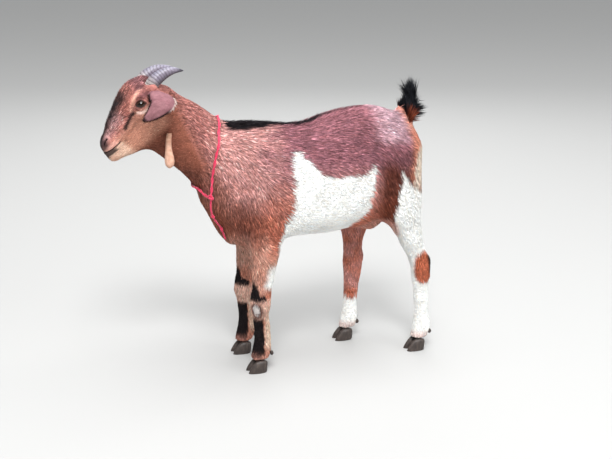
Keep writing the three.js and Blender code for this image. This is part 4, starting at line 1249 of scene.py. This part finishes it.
def make_horn(side, word):
    path = route_on(side, HORN_PATHS[side], HORN_STEPS)
    ahead, _, _ = frames_along(path)
    across = unit(np.array((0, 1.0, 0)) - ahead * ahead[:, 1:2])
    front = np.cross(ahead, across)
    if front[40, 2] < 0:
        front = -front
    t = np.linspace(0, 1, len(path))
    angle = np.linspace(0, 2 * math.pi, HORN_AROUND, endpoint=False)
    c, s = np.cos(angle)[None], np.sin(angle)[None]
    sway = 0.5 * np.sin(angle[None] * 2 + side)
    wave = np.abs(np.sin(math.pi * (HORN_RINGS * t**0.85)[:, None] + sway))
    ridge = (wave**0.7 - 0.7) * 0.62 * smoothstep(0.93, 0.55, t)[:, None]
    deep = rows_at(HORN_ROWS, t, 1)[:, None] + ridge - 0.5
    wide = rows_at(HORN_ROWS, t, 2)[:, None] + ridge * 0.8 - 0.5
    keel = 1 - 0.2 * np.maximum(c, 0) ** 2
    rings = (path[:, None] + front[:, None] * (deep * c)[..., None] / 1000
             + across[:, None] * (wide * s * keel)[..., None] / 1000)
    horn = lofted(f"horn_sheath_{word}", rings)
    t_all = np.r_[np.repeat(t, HORN_AROUND), 0, 1]
    under = np.r_[np.tile(-np.cos(angle), HORN_STEPS), 0, 0]
    beside = np.r_[np.tile(np.sin(angle), HORN_STEPS), 0, 0]
    dip = np.r_[(1 - wave).ravel(), 0, 0]
    points = read_points(horn.data)
    drawn_out = np.column_stack([t_all * 0.02, under * 0.01, beside * 0.01])
    long_streak = ripple(drawn_out, 0.0022, 71)
    specks = smoothstep(0.25, 0.6, ripple(points, 0.0024, 72)) * smoothstep(0.40, 0.15, t_all)
    colour = layered(
        tone("857b8c"), ("e6dcd2", smoothstep(0.34, 0.08, t_all) * 0.85),
        # painted highlight: a paler blue-grey along the top of the horn
        ("a2a2b6", smoothstep(-0.2, -0.9, under) * smoothstep(0.2, 0.4, t_all) * 0.45),
        # painted shade: darker along the underside of the horn
        ("45404b", smoothstep(0.1, 0.85, under) * smoothstep(0.12, 0.3, t_all) * 0.8),
        ("2c2a33", smoothstep(0.78, 0.95, t_all) * 0.85),
        ("4e4650", np.clip(dip * 1.4 - 0.3, 0, 1) * 0.75 * smoothstep(0.9, 0.6, t_all)),
        ("54444a", specks * 0.5))
    colour = 0.68 * colour * (1 + 0.14 * long_streak)[:, None]
    paint(horn, "horn_colour", np.clip(colour, 0, 1))
    return ready(horn, "horn", horn_finish, f"horn_{word}")


horn_finish, _ = painted_finish("horn", 0.42, 0.5, "horn_colour", (260, 6, 0.65, (4, 1, 1)), (0.82, 1.12),
                                (0.0005, 0.7))
for word, side in SIDES:
    make_horn(side, word)
print("horns made")

# %% [markdown]
# ## Ears
# The ear is a cupped leaf of thin skin that droops forward from behind the eye. It is a curved
# strip with a middle line, a width and a cup, closed by a rounded rim. Hair hides its edge.

# %% Ears
EAR_PATH = [(268.7, 36, 635), (263.7, 62, 641), (259.7, 88, 631), (270.7, 103, 619), (287.7, 105, 604),
            (304.7, 100, 590)]
EAR_ROWS = [
    # along, then half width, depth of the cup and thickness in millimetres
    (0, 12.5, 7, 3.6), (0.12, 16, 8.8, 2.6), (0.22, 19, 10, 2.0), (0.34, 23, 10, 1.7), (0.45, 25, 9, 1.5),
    (0.56, 23.4, 7.6, 1.4), (0.65, 20.6, 6, 1.3), (0.76, 16, 4.4, 1.2), (0.85, 11.6, 3, 1.15),
    (0.94, 7, 1.6, 1.1), (1, 2.6, 0.5, 0.9)]
EAR_STEPS = 64
EAR_FACING = ((-0.35, 0.1, 0.93), (0.25, 0.93, 0.28))


def ear_places(side, rows=EAR_STEPS, strips=22):
    """Points of both faces of an ear, with how far along and across each one is."""
    path = route_on(side, EAR_PATH, rows)
    ahead, _, _ = frames_along(path)
    t = np.linspace(0, 1, rows)
    mirror = np.array((1, side, 1))
    root, tip = (np.array(f) * mirror for f in EAR_FACING)
    lean = np.clip(t * 1.35, 0, 1)[:, None]
    facing = root * (1 - lean) + tip * lean
    facing = unit(facing - ahead * (facing * ahead).sum(1, keepdims=True))
    across = np.cross(facing, ahead)
    turn = np.linspace(0, 2 * math.pi, 2 * strips, endpoint=False)
    share, lift = np.cos(turn)[None], np.sin(turn)[None]
    half, cup, thick = (rows_at(EAR_ROWS, t, k)[:, None] for k in (1, 2, 3))
    front = 4.0 * np.exp(-(((t - 0.36) / 0.14) ** 2))[:, None] * (share * side < 0)
    upper_rear = 6.5 * np.exp(-(((t - 0.27) / 0.13) ** 2))[:, None] * (share * side > 0)
    half = half + (front + upper_rear)
    fold = 0.55 * np.sin(share * 9 + 5 * t[:, None]) * smoothstep(0.75, 0.2, t)[:, None] * (lift > 0)
    wave = 0.9 * np.sin(share * 2 + 9 * t[:, None]) * np.abs(share) ** 2
    height = -cup * share**2 + thick * lift * (1 + 0.15 * np.abs(share)) + fold + wave
    points = (path[:, None] + across[:, None] * (half * share)[..., None] / 1000
              + facing[:, None] * height[..., None] / 1000)
    return points, *(np.broadcast_to(part, height.shape) for part in (t[:, None], share, lift))


def ear_colour(points, t, share, lift, side):
    """A mauve inside with a dark front rim that is partly painted shadow, a dark lower rim and tip, a pale
    rear rim that is partly a painted highlight, and tan fur outside.
    """
    rear = share * side
    low = smoothstep(0.5, 0.66, t)
    # the pale rear rim, partly a painted highlight
    pale_rim_and_highlight = smoothstep(0.90, 0.97, rear) * (1 - low) * smoothstep(0.03, 0.12, t)
    return layered(
        tone("93686e"), ("7a5057", np.clip(0.5 + 0.6 * ripple(points, 0.012, 81), 0, 1) * 0.6),
        ("7a5154", smoothstep(0.35, 0.9, t) * 0.35),
        ("a8674f", smoothstep(0.2, -0.2, lift)),
        # partly painted shadow: a darker band along the front rim
        ("6b4447", smoothstep(0.70, 0.92, -rear) * 0.7),
        ("6b4447", smoothstep(0.62, 0.9, rear) * low * 0.7),
        ("ecd9d2", pale_rim_and_highlight),
        # partly painted shadow: the black line along the front rim
        ("160d0e", smoothstep(0.84, 0.91, -rear) * smoothstep(0.08, 0.2, t) * 0.97),
        ("1a1011", smoothstep(0.80, 0.89, rear) * low * 0.96),
        ("1a1011", smoothstep(0.91, 0.97, t) * 0.96))


ears = {}
for word, side in SIDES:
    points, t, share, lift = ear_places(side)
    ear = lofted(f"ear_leaf_{word}", points)
    flat = [np.r_[part.ravel(), part[0].mean(), part[-1].mean()] for part in (t, share, lift)]
    paint(ear, "coat_colour", ear_colour(read_points(ear.data), *flat, side))
    ready(ear, "ear", hide, f"ear_{word}")
    ears[side] = (ear, flat)
print("ears made")

# %% [markdown]
# ## Hooves, dewclaws and wattles
# A goat stands on two claws on each foot, with two small dewclaws behind. Each claw is a block of
# dark horn with faint level rings. The solids give their places, so each claw starts as a copy of
# its solid, with its doubles merged, and is rounded by subdivision.

# %% Smooth copies of small solids
def rounded_copy(node, name, levels=2, crease_floor=False):
    shape = merged_copy(node)
    bmesh.ops.dissolve_limit(shape, angle_limit=0.09, verts=shape.verts, edges=shape.edges)
    if crease_floor:
        crease = shape.edges.layers.float.new("crease_edge")
        for edge in shape.edges:
            if all(vertex.co.z < 0.0006 for vertex in edge.verts):
                edge[crease] = 0.8
    piece = piece_of(shape, name)
    only(piece)
    rounder = piece.modifiers.new("rounder", "SUBSURF")
    rounder.levels = rounder.render_levels = levels
    bpy.ops.object.modifier_apply(modifier="rounder")
    bpy.ops.object.shade_smooth()
    return piece


hoof_horn, _ = noisy_finish("hoof horn", 0.5, 0.4, (240, 6, 0.65, (1, 1, 3)),
                            [(0.25, "231d1b"), (0.55, "3d3430"), (0.8, "5c4f47")], (0.0006, 0.8))


def ring_hoof(points):
    """Faint level rings round the wall of a hoof."""
    middle = points.mean(0)
    out = unit((points - middle) * np.array((1, 1, 0)))
    wall = smoothstep(0.002, 0.006, points[:, 2])
    return points + out * (0.00022 * np.sin(points[:, 2] / 0.0042 * 2 * math.pi) * wall)[:, None]


for leg in ("fore", "hind"):
    for word, side in SIDES:
        for half in ("inner", "outer"):
            claw = rounded_copy(f"claw_{leg}_{word}_{half}", f"hoof_{leg}_{word}_{half}", 3, True)
            write_points(claw.data, ring_hoof(read_points(claw.data)))
            ready(claw, "hoof", hoof_horn, f"claw_{leg}_{word}_{half}")
            dew = rounded_copy(f"dewclaw_{leg}_{word}_{half}", f"dew_{leg}_{word}_{half}")
            ready(dew, "hoof", hoof_horn, f"dewclaw_{leg}_{word}_{half}")


# %% Wattles
WATTLE_ROWS = [
    # along, then half width and half depth in millimetres
    (0, 5.0, 4.6), (0.12, 6.0, 5.6), (0.35, 6.2, 5.8), (0.52, 7.4, 6.6), (0.66, 9.6, 8.0),
    (0.80, 10.4, 8.6), (0.90, 9.2, 7.8), (0.96, 6.6, 5.8), (1, 2.6, 2.4)]


def make_wattle(word):
    """A skin lobe on a stalk, as long as its solid is and hung in the same place."""
    low, high = (np.array(corner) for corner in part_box(f"wattle_{word}"))
    middle = (low + high) / 2
    top = np.array((middle[0], middle[1], high[2] - 0.001))
    foot = np.array((middle[0], middle[1], low[2] + 0.0015))
    t = np.linspace(0, 1, 40)
    line = top + (foot - top) * t[:, None]
    line[:, 0] += 0.0015 * np.sin(t * 5) - 0.003 * (1 - t)
    turn = np.linspace(0, 2 * math.pi, 24, endpoint=False)
    wide, deep = (rows_at(WATTLE_ROWS, t, k)[:, None, None] / 1000 for k in (1, 2))
    rings = (line[:, None] + np.cos(turn)[None, :, None] * wide * np.array((1, 0, 0))
             + np.sin(turn)[None, :, None] * deep * np.array((0, 1, 0)))
    lobe = lofted(f"wattle_lobe_{word}", rings)
    points = read_points(lobe.data)
    level = (points[:, 2] - points[:, 2].min()) / np.ptp(points[:, 2])
    mottled = np.clip(0.5 + 0.6 * ripple(points, 0.006, 91), 0, 1)
    colour = layered(tone("cfa08a"), ("a8745c", smoothstep(0.6, 1.0, level)), ("dfb9a2", mottled * 0.5))
    paint(lobe, "coat_colour", colour)
    return ready(lobe, "wattle", hide, f"wattle_{word}")


for word, _ in SIDES:
    make_wattle(word)
print("hooves and wattles made")

# %% [markdown]
# ## The coat
# The coat is many thousand small tufts of solid mesh. Each is a flat pointed blade of three
# corners at its root and its middle and one at its tip, laid along the body in the way that
# the hair lies. Those on the face and ears are shorter and have no middle row of corners. The
# skin is unwrapped first, and each tuft keeps a small patch at its root's place on that unwrap,
# so that a baked picture gives each tuft its own colours.

# %% Unwrap the skin
def unwrap(piece):
    edited(piece, (bpy.ops.uv.smart_project, {"angle_limit": math.radians(66), "island_margin": 0.002}))


unwrap(skin)
print("skin unwrapped:", len(skin.data.uv_layers.active.data), "corners")

# %% Which way the hair lies
BODY_LIE = [
    # x, z in millimetres, and the direction seen from the left
    (215, 610, -0.80, -0.60), (200, 540, -0.62, -0.78), (222, 480, -0.45, -0.90), (165, 400, -0.10, -1.0),
    (110, 480, -0.62, -0.78), (80, 400, -0.30, -0.95), (95, 556, -0.96, -0.28), (75, 330, -0.08, -1.0),
    (38, 345, -0.45, -0.89), (5, 480, -0.90, -0.43), (-40, 390, -0.86, -0.50),
    (-120, 530, -0.97, -0.22), (-150, 440, -0.92, -0.40), (-225, 540, -0.90, -0.42),
    (-285, 520, -0.72, -0.70), (-262, 430, -0.42, -0.91),
    (-322, 440, -0.12, -1.0), (-100, 325, -1.0, -0.10), (25, 305, -0.9, -0.4), (60, 200, 0.0, -1.0),
    (58, 90, 0.0, -1.0), (-295, 320, -0.36, -0.93), (-340, 210, -0.05, -1.0), (-345, 90, 0.0, -1.0),
    (-235, 200, 0.0, -1.0), (-220, 90, 0.1, -1.0)]
FACE_LIE = [
    # u, y, v in the head's frame, and the direction there
    (150, 8, 28, -1, 0.3, 0.2), (110, 12, 36, -1, 0.35, 0.15), (80, 14, 46, -1, 0.4, 0.1),
    (50, 10, 54, -1, 0.2, 0.2), (20, 6, 50, -1, 0.1, 0.1), (60, 38, 30, -1, 0.5, 0.5),
    (130, 24, 6, -0.9, 0.2, -0.35), (100, 27, 0, -0.85, 0.3, -0.45), (70, 34, -14, -0.8, 0.1, -0.6),
    (40, 36, -30, -0.8, 0.1, -0.6), (150, 18, -30, -0.9, 0.1, -0.3), (110, 16, -52, -1, 0, -0.25),
    (60, 14, -62, -1, 0, -0.3), (20, 34, 10, -0.9, 0.3, -0.4), (176, 10, -24, -0.7, 0.3, -0.6),
    (172, 12, 8, -0.8, 0.5, 0.2)]


def guided(places, directions, at, reach):
    """A direction at each point: a mean of the guides, weighted by how near they are."""
    total = np.zeros((len(at), directions.shape[1]))
    for place, direction in zip(places, directions):
        weight = 1 / (((at - place) ** 2).sum(1) + reach**2) ** 2
        total += weight[:, None] * direction
    return total


def lie_of_hair(points, normals):
    """The hair's direction along the surface at each point."""
    body = np.array(BODY_LIE)
    flow = guided(body[:, :2], body[:, 2:], points[:, [0, 2]] * 1000, 26)
    flow = unit(np.column_stack([flow[:, 0], np.zeros(len(flow)), flow[:, 1]]))
    face = np.array(FACE_LIE, float)
    u, y, v = on_head(points)
    side = np.where(y >= 0, 1.0, -1.0)
    on_face = unit(guided(face[:, :3], face[:, 3:], np.column_stack([u, np.abs(y), v]), 12))
    to_world = np.column_stack([on_face[:, 0] * HEAD_C + on_face[:, 2] * HEAD_S, on_face[:, 1] * side,
                                -on_face[:, 0] * HEAD_S + on_face[:, 2] * HEAD_C])
    share = is_head(points)[:, None]
    flow = unit(flow * (1 - share) + to_world * share)
    return unit(flow - normals * (flow * normals).sum(1, keepdims=True))


# %% Places for the tufts
def scatter(piece, spacing, seed):
    """Even places on a mesh: points, normals, and places on its unwrap. `spacing` is in metres."""
    mesh = piece.data
    mesh.calc_loop_triangles()
    corners = read_array(mesh.loop_triangles, "vertices", 3, np.int32)
    loops = read_array(mesh.loop_triangles, "loops", 3, np.int32)
    points, normals = read_points(mesh), read_normals(mesh)
    uv = read_array(mesh.uv_layers.active.data, "uv", 2)
    a, b, c = (points[corners[:, k]] for k in range(3))
    area = np.linalg.norm(np.cross(b - a, c - a), axis=1) / 2
    sums = np.cumsum(area / spacing((a + b + c) / 3) ** 2)
    rng = np.random.default_rng(seed)
    stops = np.arange(int(sums[-1])) + rng.uniform(0, 1, int(sums[-1]))
    chosen = np.searchsorted(sums, np.minimum(stops, sums[-1] - 1e-9))
    r, s = np.sqrt(rng.uniform(size=len(chosen))), rng.uniform(size=len(chosen))
    shares = np.column_stack([1 - r, r * (1 - s), r * s])
    mixed = [sum(shares[:, k : k + 1] * values[index[chosen, k]] for k in range(3))
             for values, index in ((points, corners), (normals, corners), (uv, loops))]
    return mixed[0], unit(mixed[1]), mixed[2]


# %% Tufts from their roots
UV_PATCH = 0.003
BLADE = np.array([
    # along, across, up: the root, the middle and the tip
    (0, -1, 0), (0, 1, 0), (0, 0, 1), (0.5, -0.85, 0), (0.5, 0.85, 0), (0.5, 0, 1), (1, 0, 0.2)])
BLADE_FACES = np.array([(0, 1, 2), (0, 4, 1), (0, 3, 4), (1, 5, 2), (1, 4, 5), (2, 3, 0), (2, 5, 3),
                        (3, 6, 4), (4, 6, 5), (5, 6, 3)])
SHORT = np.array([(0, -1, 0), (0, 1, 0), (0, 0, 1), (1, 0, 0.2)])
SHORT_FACES = np.array([(0, 1, 2), (0, 3, 1), (1, 3, 2), (2, 3, 0)])
ROOT_DEPTH = 0.0006


def spines(roots, normals, flow, length, rise, steps, tree):
    """Each tuft's middle line: its root under the skin, then over the skin as far as it is long."""
    lines = {0: roots - normals * ROOT_DEPTH}
    for along in steps:
        places = roots + flow * length * along
        if tree is None:
            lines[along] = places + normals * rise * along
            continue
        near = [tree.find_nearest(Vector(p)) for p in places]
        facing = unit(np.array([hit[1] for hit in near]) + normals)
        lines[along] = np.array([hit[0] for hit in near]) + facing * rise * along
    return lines


def whiteness(colours):
    return smoothstep(0.45, 0.75, colours.min(1))


def tufts(name, roots, normals, flow, size, colours, uv, tree=None, short=False):
    """One piece of tufts. `size` holds each tuft's length, half width, thickness and rise."""
    shape, faces = (SHORT, SHORT_FACES) if short else (BLADE, BLADE_FACES)
    length, half, thick, rise = (column[:, None] for column in size.T)
    across = np.cross(normals, flow)
    lines = spines(roots, normals, flow, length, rise, sorted(set(shape[:, 0]) - {0}), tree)
    points = np.stack([lines[along] + across * half * sideways + normals * thick * up
                       for along, sideways, up in shape], 1)
    count, corners = points.shape[:2]
    all_faces = (np.arange(count)[:, None, None] * corners + faces[None]).reshape(-1, 3)
    piece = piece_from(name, points.reshape(-1, 3), all_faces)
    pale = whiteness(colours)[:, None]
    # painted shade at each tuft's root and a painted highlight towards its tip; white tufts get neither
    shade = np.interp(shape[:, 0], [0, 0.5, 1], [0.70, 1.0, 1.2])[None] * (1 - pale) + pale
    paint(piece, "coat_colour", np.clip(colours[:, None] * shade[..., None], 0, 1).reshape(-1, 3))
    layer = piece.data.uv_layers.new(name="OFBake")
    spread = np.column_stack([shape[:, 1] * 0.5, shape[:, 0] - 0.5]) * UV_PATCH
    spots = np.clip(uv[:, None] + spread[None], 0, 1).reshape(-1, 2)
    layer.data.foreach_set("uv", spots[all_faces.ravel()].astype(np.float32).ravel())
    return piece


# %% Length and thickness of the coat, place by place
BODY_GAP, LEG_GAP, FACE_GAP = 0.00235, 0.0019, 0.00145
TAIL_GAP, EAR_GAP = 0.00155, 0.0015


def coat_spacing(points):
    """Metres between tufts: close on the face and the feet."""
    head, low = is_head(points), smoothstep(0.30, 0.20, points[:, 2])
    body = BODY_GAP * (1 - low) + LEG_GAP * low
    return body * (1 - head) + FACE_GAP * head


def shaggy(points):
    """1 on the forehead and the bridge of the nose, where the hair is rough, fading to 0."""
    u, y, v = on_head(points)
    front = smoothstep(32, 18, np.abs(y)) * smoothstep(4, 16, v + 0.14 * (u - 110))
    return front * smoothstep(160, 138, u) * smoothstep(-4, 12, u) * is_head(points)


def coat_size(points, white, rng):
    """Length, half width, thickness and rise of each tuft, in metres."""
    x, y, z = (points * 1000).T
    head, low, rough = is_head(points), smoothstep(330, 210, z), shaggy(points)
    length = 23 * (1 - low) + 10 * low
    back = smoothstep(26, 8, np.abs(y)) * smoothstep(490, 510, z)
    back = back * smoothstep(-200, -120, x) * smoothstep(160, 90, x)
    length += 5 * back + 4 * smoothstep(-300, -330, x) * smoothstep(380, 420, z)
    length *= 1 - 0.3 * white
    length = length * (1 - head) + (6.5 + 5.5 * rough) * head
    half = (0.95 * (1 - low) + 0.7 * low) * (1 - head) + (0.5 + 0.32 * rough) * head
    rise = (2.4 + 3.6 * back - 1.0 * white) * (1 - low) + 1.2 * low
    rise = rise * (1 - head) + (0.8 + 2.0 * rough) * head
    size = np.column_stack([length, half, half * 0.45, rise]) / 1000
    count = len(points)
    return size * np.column_stack([rng.uniform(0.7, 1.25, count), rng.uniform(0.7, 1.2, count),
                                   np.ones(count), rng.uniform(0.5, 1.5, count)])


def is_bare(points):
    """Where no tuft grows: on the eyes, the lips, the nostrils, the nose and the knees' pads."""
    u, y, v = on_head(points)
    eye = np.zeros(len(points), bool)
    for _, side in SIDES:
        opening, _, _, w = eye_opening(points, side)
        eye |= (opening < 1.35) & (w > 0)
    nose = (u > 172) & (v > -12)
    place = np.column_stack([u, np.abs(y), v])
    nostril = distance_to_line(place, np.array(NOSTRIL, float)) < 3.2
    mouth = distance_to_line(place, np.array(MOUTH, float)) < 2.2
    mirrored = np.column_stack([points[:, 0], np.abs(points[:, 1]), points[:, 2]])
    from_pad = (mirrored - KNEE_PAD) * (1, 1, 0.7)
    pad = np.linalg.norm(from_pad, axis=1) < 0.0078
    return (is_head(points) > 0.5) & (eye | nose | nostril | mouth) | pad


# %% Grow the coat over the skin
def varied(colours, rng, spread):
    """Each tuft a little lighter or darker than its neighbours."""
    light = np.exp(rng.normal(0, 1, len(colours)) * spread)[:, None]
    warm = 1 + rng.normal(0, 0.03, (len(colours), 1)) * np.array([[1, 0, -1]])
    return np.clip(colours * light * warm, 0, 1)


def swayed(flow, normals, degrees):
    sway = np.radians(degrees)[:, None]
    return unit(flow * np.cos(sway) + np.cross(normals, flow) * np.sin(sway))


roots, root_normals, root_uv = scatter(skin, coat_spacing, 101)
keep = ~is_bare(roots)
roots, root_normals, root_uv = roots[keep], root_normals[keep], root_uv[keep]
rng = np.random.default_rng(102)
root_colours = markings(roots)
white = whiteness(root_colours)
rough = shaggy(roots)
calm = 1 - 0.6 * white
flow = swayed(lie_of_hair(roots, root_normals), root_normals,
              (rng.normal(0, 4, len(roots)) * (1 + 2 * rough) + 6 * ripple(roots, 0.035, 103)) * calm)
sizes = coat_size(roots, white, rng)
head = is_head(roots)
spread = (0.36 + 0.24 * rough + 0.06 * head) * (1 - white) + 0.012 * white
locks = ripple(roots, 0.0035, 104, (2.4, 1, 1.2)) * (1 - white) * (0.12 + 0.34 * rough)
root_colours = varied(root_colours * np.exp(locks)[:, None], rng, spread)
tree = skin_tree(skin)
print("tufts:", len(roots))

fur, nodes, shader = new_material("coat tufts", 0.65, 0.12)
nodes.links.new(attribute_node(nodes, "coat_colour").outputs["Color"], shader.inputs["Base Color"])


def region_of(points):
    """Splits the coat into named regions, none of them too large for one piece."""
    x, z = points[:, 0] * 1000, points[:, 2] * 1000
    word = np.where(points[:, 1] >= 0, "left", "right")
    places = {
        "head": is_head(points) > 0.5, "foreleg": (z < 300) & (x > -100), "hindleg": z < 300,
        "neck": x > 150, "shoulder": x > 60, "ribs": x > -40, "loin": x > -150, "hip": x > -240}
    place = np.select(list(places.values()), list(places), "rump")
    return np.char.add(np.char.add(place.astype(str), "_"), word)


regions = region_of(roots)
coat_faces = 0
for region in sorted(set(regions)):
    mine = regions == region
    piece = tufts(f"coat_{region}", roots[mine], root_normals[mine], flow[mine], sizes[mine],
                  root_colours[mine], root_uv[mine], tree, region.startswith("head"))
    ready(piece, "coat_brown", fur)
    coat_faces += len(piece.data.polygons)
    print(region, int(mine.sum()), len(piece.data.polygons))

# %% [markdown]
# ## Long hair on the tail
# The tail is held up, with brown hair at its root and long black hair that fans upwards and back.
# It grows from the dock, which is part of the skin. Its blades keep their own direction and do not
# follow the skin, so the tail has a ragged outline.

# %% Tail hair
TAIL_SPINE = np.array([(14, -6), (-12, 9), (-9, 36), (-4, 58), (1, 76), (4, 93)], float)


def tail_hair():
    places, normals, uv = scatter(skin, lambda p: np.full(len(p), TAIL_GAP), 201)
    from_root = (places - TAIL_ROOT) * 1000
    on_tail = (from_root[:, 0] < 10) & (from_root[:, 2] > -2 - 0.6 * from_root[:, 0])
    places, normals, uv, from_root = places[on_tail], normals[on_tail], uv[on_tail], from_root[on_tail]
    rng = np.random.default_rng(202)
    rise = from_root[:, 2]
    leans = [np.interp(level, TAIL_SPINE[:, 1], TAIL_SPINE[:, 0]) for level in (rise, rise + 26)]
    ahead = leans[1] - leans[0]
    up = unit(np.column_stack([ahead, np.zeros(len(rise)), np.full(len(rise), 26.0)]))
    behind = np.maximum(-normals[:, 0], 0) * smoothstep(44, 12, rise)
    stray = rng.normal(0, 0.07, (len(rise), 3))
    ahead_share = np.maximum(normals[:, 0], 0) * smoothstep(-2, 10, rise)
    flow = unit(up + normals * (0.40 + 0.25 * ahead_share + 0.55 * behind)[:, None] + stray)
    level = rng.uniform(size=len(rise)) < 0.5 * behind
    flow[level] = unit(flow[level] * np.array((1, 1, 0.15)) + np.array((-0.7, 0, -0.05)))
    normals = unit(normals - flow * (normals * flow).sum(1, keepdims=True))
    length = (34 + 6 * smoothstep(30, 50, rise) - 8 * behind) * rng.uniform(0.7, 1.15, len(rise))
    size = np.column_stack([length, *np.outer((0.85, 0.4, 0), np.ones(len(rise)))]) / 1000
    black = smoothstep(-2, 10, rise + 5 * ripple(places, 0.01, 203))
    colours = blend(DEEP_BROWN_AND_SHADE, BLACK, black)
    return tufts("tail_hair", places, normals, flow, size, varied(colours, rng, 0.3), uv)


tail = ready(tail_hair(), "coat_black", fur, "tail")
coat_faces += len(tail.data.polygons)
print("tail hair:", len(tail.data.polygons))

# %% [markdown]
# ## Short hair on the ears
# Fine short hair lies over both faces of each ear and makes a pale fringe along its rear rim.

# %% Ear hair
EAR_HAIR_MARGIN = 1.2  # millimetres kept free inside the box of the solids


def ear_hair(side, word):
    ear, places = ears[side]
    unwrap(ear)
    roots, normals, uv = scatter(ear, lambda p: np.full(len(p), EAR_GAP), 301)
    rng = np.random.default_rng(302)
    nearest = skin_tree(ear)
    faces = ear.data.polygons
    own = [faces[nearest.find_nearest(Vector(p))[2]].vertices[0] for p in roots]
    t, share, lift = (values[own] for values in places)
    path = route_on(side, EAR_PATH, EAR_STEPS)
    ahead, _, _ = frames_along(path)
    step = np.clip((t * (EAR_STEPS - 1)).astype(int), 0, EAR_STEPS - 1)
    flow = ahead[step]
    out = unit(roots - path[step])
    edge = smoothstep(0.8, 0.97, np.abs(share))
    flow = unit(flow + out * (0.15 + 0.5 * edge)[:, None] + rng.normal(0, 0.08, roots.shape))
    flow = unit(flow - normals * (flow * normals).sum(1, keepdims=True) * (1 - edge)[:, None])
    fringe = edge * smoothstep(0.62, 0.5, t) * (share * side > 0)
    length = (4.5 + 3.0 * fringe) * rng.uniform(0.7, 1.2, len(roots))
    room = cad_box[1][1] * 1000 - EAR_HAIR_MARGIN - roots[:, 1] * side * 1000
    length = np.minimum(length, (room / (flow[:, 1] * side).clip(0.05)).clip(0.5))
    half = 0.42 + 0.1 * fringe
    size = np.column_stack([length, half, half * 0.45, 0.35 + 0.5 * fringe]) / 1000
    colours = varied(ear_colour(roots, t, share, lift, side), rng, 0.16)
    return tufts(f"ear_hair_{word}", roots, normals, flow, size, colours, uv, None, True)


for word, side in SIDES:
    hair = ready(ear_hair(side, word), "ear", fur)
    coat_faces += len(hair.data.polygons)
print("triangles of coat:", coat_faces)
